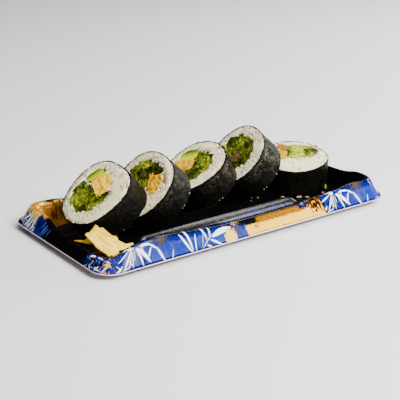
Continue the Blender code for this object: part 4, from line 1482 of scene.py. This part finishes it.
def make_ginger(number, material):
    """A thin slice of ginger: a grid laid between its corners, with fibres, waves and worn edges."""
    corners, thick, waves = GINGER[number]
    left, right, near_end, far_end = (np.array(edge).T for edge in GINGER_TORN[number])
    a, b, c, d = (Vector((x, y, z + SHEET)) for x, y, z in corners)
    width, length = (b - a).length, (d - a).length
    middle = (a + b + c + d) / 4
    mesh = bmesh.new()
    bmesh.ops.create_grid(mesh, x_segments=GINGER_COLUMNS, y_segments=GINGER_ROWS, size=0.5)
    tone = mesh.verts.layers.float.new("tone")
    local = mesh.verts.layers.float_vector.new("local")
    shares = []
    for v in mesh.verts:
        s, t = v.co.x + 0.5, v.co.y + 0.5
        near = min(s * width, (1 - s) * width, t * length, (1 - t) * length)
        torn_s = mix(float(np.interp(t, *left)), float(np.interp(t, *right)), s)
        torn_t = mix(float(np.interp(s, *near_end)), float(np.interp(s, *far_end)), t)
        spot = mix(mix(a, b, torn_s), mix(d, c, torn_s), torn_t)
        ragged = rough(spot, 3.2, number) * 0.3 + rough(spot, 1.2, number + 2) * 0.25
        v[local] = Vector((s * width, t * length, number))
        v[tone] = ease(1.0 - near / 1.5)
        shares.append(mix(0.3, 1.0, ease(near / 1.4)))
        spot += (spot - middle).normalized() * ragged * ease(1.0 - near / 2.5)
        fibre = abs(rough((s * width, t * 3.0, number), 2.8)) - 0.25
        spot.z += waves * 0.6 * math.sin((s * 1.6 + t * 1.1) * math.pi * 1.3 + number)
        drape = rough((s * width, t * length * 0.3, number), 4.0)
        spot.z += waves * 1.6 * drape * (1.0 if number > 1 else 0.6)
        spot.z += 1.1 * fibre * ease(near / 0.8) - 0.4 * ease(1.0 - near / 1.4)
        v.co = spot * MM
    bmesh.ops.recalc_face_normals(mesh, faces=mesh.faces[:])
    if sum(f.normal.z for f in mesh.faces) < 0:
        bmesh.ops.reverse_faces(mesh, faces=mesh.faces[:])
    piece = finish_piece(f"ginger_slice_{number}", mesh, material, "ginger", (f"ginger_{number}",))
    give_thickness(piece, thick, shares)


def ginger_material():
    """Pickled ginger: cream and a little clear, with fibres along it, painted brown shade low down on the
    tray and golden edges.
    """
    wires = start_material("pickled_ginger", roughness=0.36, subsurface_weight=0.4, subsurface_scale=0.0015,
                           subsurface_radius=(1.0, 0.75, 0.35))
    local = wires.attribute("local", "Vector")
    fibres = wires.noise(wires.scaled(local, (1.0, 0.10, 1.0)), 1.3, 4.0, 0.6, 0.3)
    low_down = wires.fall(wires.parts(wires.place())[2], 5.0, 13.0)
    body = wires.blend(wires.step(fibres, 0.42, 0.60), (0.96, 0.68, 0.030), (0.66, 0.36, 0.006))
    for share, tint in (
        (wires.step(wires.noise(local, 0.12, 3.0), 0.45, 0.65) * 0.4, (0.84, 0.55, 0.018)),
        # Painted shade: the slices darken to brown lower down.
        (low_down * 0.6, (0.46, 0.22, 0.010)),
        (wires.attribute("tone") * 0.5, (0.68, 0.38, 0.008)),
    ):
        body = wires.blend(share, body, tint)
    return wires.finish(body, wires.bump(fibres, 0.5))


# The crumbs

# Loose grains of rice on the tray's floor: place, heading and size against a whole grain.
LOOSE_RICE = (
    (69.7, -18.2, 2.8, 0.8), (74.7, -21.1, 2.3, 0.6), (60.7, -10.7, 2.6, 0.5), (45.8, -1.3, 2.4, 0.25),
    (37.8, -3.5, 1.3, 0.3), (-52.0, -26.0, 0.5, 0.25),
)
# How many scraps of rice stick to each slice's lower back rim, where it was pulled off its neighbour.
SCRAPS = {1: 2, 2: 3, 3: 2, 4: 4}
# Red roe: the slice that it sits on, or 0 for the tray's floor, and its place there. It sinks into a slice.
ROE = ((3, 4.2, 22.6), (5, 15.8, 18.0), (0, 89.2, -21.5))
ROE_SIZE = 1.9
ROE_ON_SLICE = 0.6
# Flecks of seaweed on the rice: slice, place, heading and size.
FLECKS = (
    (1, -17.8, -14.6, 0.6, 1.3), (1, -6.4, 16.9, -0.45, 4.2), (2, 14.8, -5.5, 0.8, 0.9),
    (2, 20.6, 2.4, 0.2, 0.7), (3, -19.6, 17.0, 0.9, 2.4), (2, 18.0, 10.6, 1.0, 0.9),
    (4, 14.5, 9.0, 0.4, 0.9), (5, 3.0, -6.0, 1.1, 0.9),
)
FLECK_WIDTH = 0.8
FLECK_THICK = 0.3
FLECK_RISE = 0.52
# A scrap of leaf on the tray, as two lobes: place, size, heading, tilt and tone.
SCRAP_OF_LEAF = (
    (97.6, -15.4, 2.2, (3.2, 1.6, 0.8), 1.1, 0.9, 0.55),
    (97.0, -15.8, 1.0, (2.2, 1.4, 0.8), 2.3, 0.6, 0.35),
)


def make_crumbs(slices, form, rice, lettuce, nori):
    """What has fallen on the tray or sticks to the slices: rice, roe, flecks of seaweed and a leaf."""
    draw = random.Random(CRUMB_SEED)
    kinds = {
        "loose_rice": (rice, "rice"),
        "red_roe": (roe_material(), "rice"),
        "seaweed_flecks": (nori, "nori"),
        "leaf_scrap": (lettuce, "lettuce"),
    }
    piles = {kind: Pile() for kind in kinds}

    def put(kind, roll, u, v, rise, sizes, angle, tone, tip=0.0, bend=0.1, front=True):
        shape, faces = lay_grain(form, u, v, sizes, angle, tip, bend) + (0.0, 0.0, rise), form[1]
        if roll:
            shape, faces = side_of(shape, faces, slices[roll], front)
            shape = slices[roll].settled(shape) / MM
        else:
            shape = shape + (0.0, 0.0, SHEET)
        piles[kind].add(shape, faces, tone)

    for x, y, angle, size in LOOSE_RICE:
        plump = min(size * 1.2, 1.0)
        sizes = (GRAIN_LENGTH * size, GRAIN_WIDTH * plump, GRAIN_THICK * plump)
        put("loose_rice", 0, x, y, sizes[2] / 2, sizes, angle, draw.random(), bend=0.2)
    for roll, count in SCRAPS.items():
        for _ in range(count):
            angle = math.radians(draw.gauss(-12, 24))
            away = slices[roll].radius(angle) + draw.uniform(-0.2, 0.1)
            sizes = (draw.uniform(0.7, 2.4), draw.uniform(0.5, 0.9), 0.6)
            turned = angle + math.pi / 2 + draw.uniform(-0.5, 0.5)
            put("loose_rice", roll, away * math.cos(angle), away * math.sin(angle), -draw.uniform(0.0, 0.5),
                sizes, turned, draw.random(), front=False)
    for roll, u, v in ROE:
        rise = ROE_ON_SLICE if roll else ROE_SIZE / 2
        put("red_roe", roll, u, v, rise, (ROE_SIZE, ROE_SIZE, ROE_SIZE), 0.0, 0.5, bend=0.0)
    for roll, u, v, angle, size in FLECKS:
        sizes = (size, min(FLECK_WIDTH, size * 0.7), FLECK_THICK)
        put("seaweed_flecks", roll, u, v, FLECK_RISE, sizes, angle, 0.0)
    for x, y, z, sizes, angle, tip, tone in SCRAP_OF_LEAF:
        put("leaf_scrap", 0, x, y, z, sizes, angle, tone, tip, 0.3)
    for kind, (material, slot) in kinds.items():
        add_object(kind, piles[kind].mesh(kind), material, slot)


def roe_material():
    """Red roe, clear enough to glow."""
    wires = start_material("red_roe", roughness=0.18, subsurface_weight=0.5, subsurface_scale=0.001)
    shade = wires.noise(wires.place(), 1.5)
    return wires.finish(wires.blend(shade, (0.50, 0.036, 0.0005), (0.62, 0.075, 0.0005)))


# The stage

def make_stage():
    """A plain pale floor."""
    wires = start_material("pale_floor", roughness=0.8)
    shade = wires.noise(wires.place(), 0.01)
    mesh = bmesh.new()
    bmesh.ops.create_grid(mesh, x_segments=1, y_segments=1, size=STAGE_HALF)
    data = bpy.data.meshes.new("stage_floor")
    mesh.to_mesh(data)
    mesh.free()
    data.materials.append(wires.finish(wires.blend(shade, (0.66, 0.67, 0.68), (0.68, 0.69, 0.70))))
    floor = new_object("stage_floor", data)


def make_lights():
    """Soft studio light: a key in front, and weaker boxes above, high at the right and low at the right."""
    world = bpy.data.worlds.new("studio")
    world.use_nodes = True
    background = world.node_tree.nodes["Background"]
    background.inputs["Color"].default_value = ROOM_TINT
    background.inputs["Strength"].default_value = ROOM_STRENGTH
    bpy.context.scene.world = world
    for name, at, width, depth, watts, tint in LIGHTS:
        data = bpy.data.lights.new(name, "AREA")
        data.shape = "RECTANGLE"
        data.size = width
        data.size_y = depth
        data.energy = watts
        data.color = tint
        light = new_object(name, data)
        light.location = at
        light.rotation_euler = (-Vector(at)).to_track_quat("-Z", "Y").to_euler()


def make_camera():
    data = bpy.data.cameras.new("camera")
    data.lens = CAMERA_LENS
    camera = new_object("camera", data)
    turn = (Matrix.Rotation(CAMERA_AZIMUTH, 4, "Z") @ Matrix.Rotation(math.pi / 2 - CAMERA_ELEVATION, 4, "X")
            @ Matrix.Rotation(CAMERA_ROLL, 4, "Z"))
    camera.matrix_world = Matrix.Translation(CAMERA_AT) @ turn
    bpy.context.scene.camera = camera


make_camera()
make_stage()
make_lights()
make_tray(film_material(), foam_material())

nori, lettuce, avocado = nori_material(), lettuce_material(), avocado_material()
rice = rice_material("cooked_rice", *RICE_TINTS)
# The crumbs and scraps get the same rice painted darker, as shade.
soaked = rice_material("soaked_rice", *SOAKED_TINTS)
form = grain_form()
slices = {number: Slice(number) for number in ROLLS}
for number, piece in slices.items():
    make_nori(piece, nori)
    make_rice(piece, rice, form)
    make_lettuce(piece, lettuce)
    cooked = golden_material(f"golden_filling_{number}", *GOLDEN_TINTS[number], STRANDS[number])
    make_golden(piece, f"chicken_{number}", f"golden_piece_{number}", "chicken", cooked, form)
    if number in RIND:
        make_avocado(piece, avocado)
egg = golden_material("pale_omelette", *EGG, STRANDS[5])
make_golden(slices[5], "omelette_5", "omelette_piece_5", "omelette", egg, form)
pickled = ginger_material()
for number in GINGER:
    make_ginger(number, pickled)
make_crumbs(slices, form, soaked, lettuce, nori)
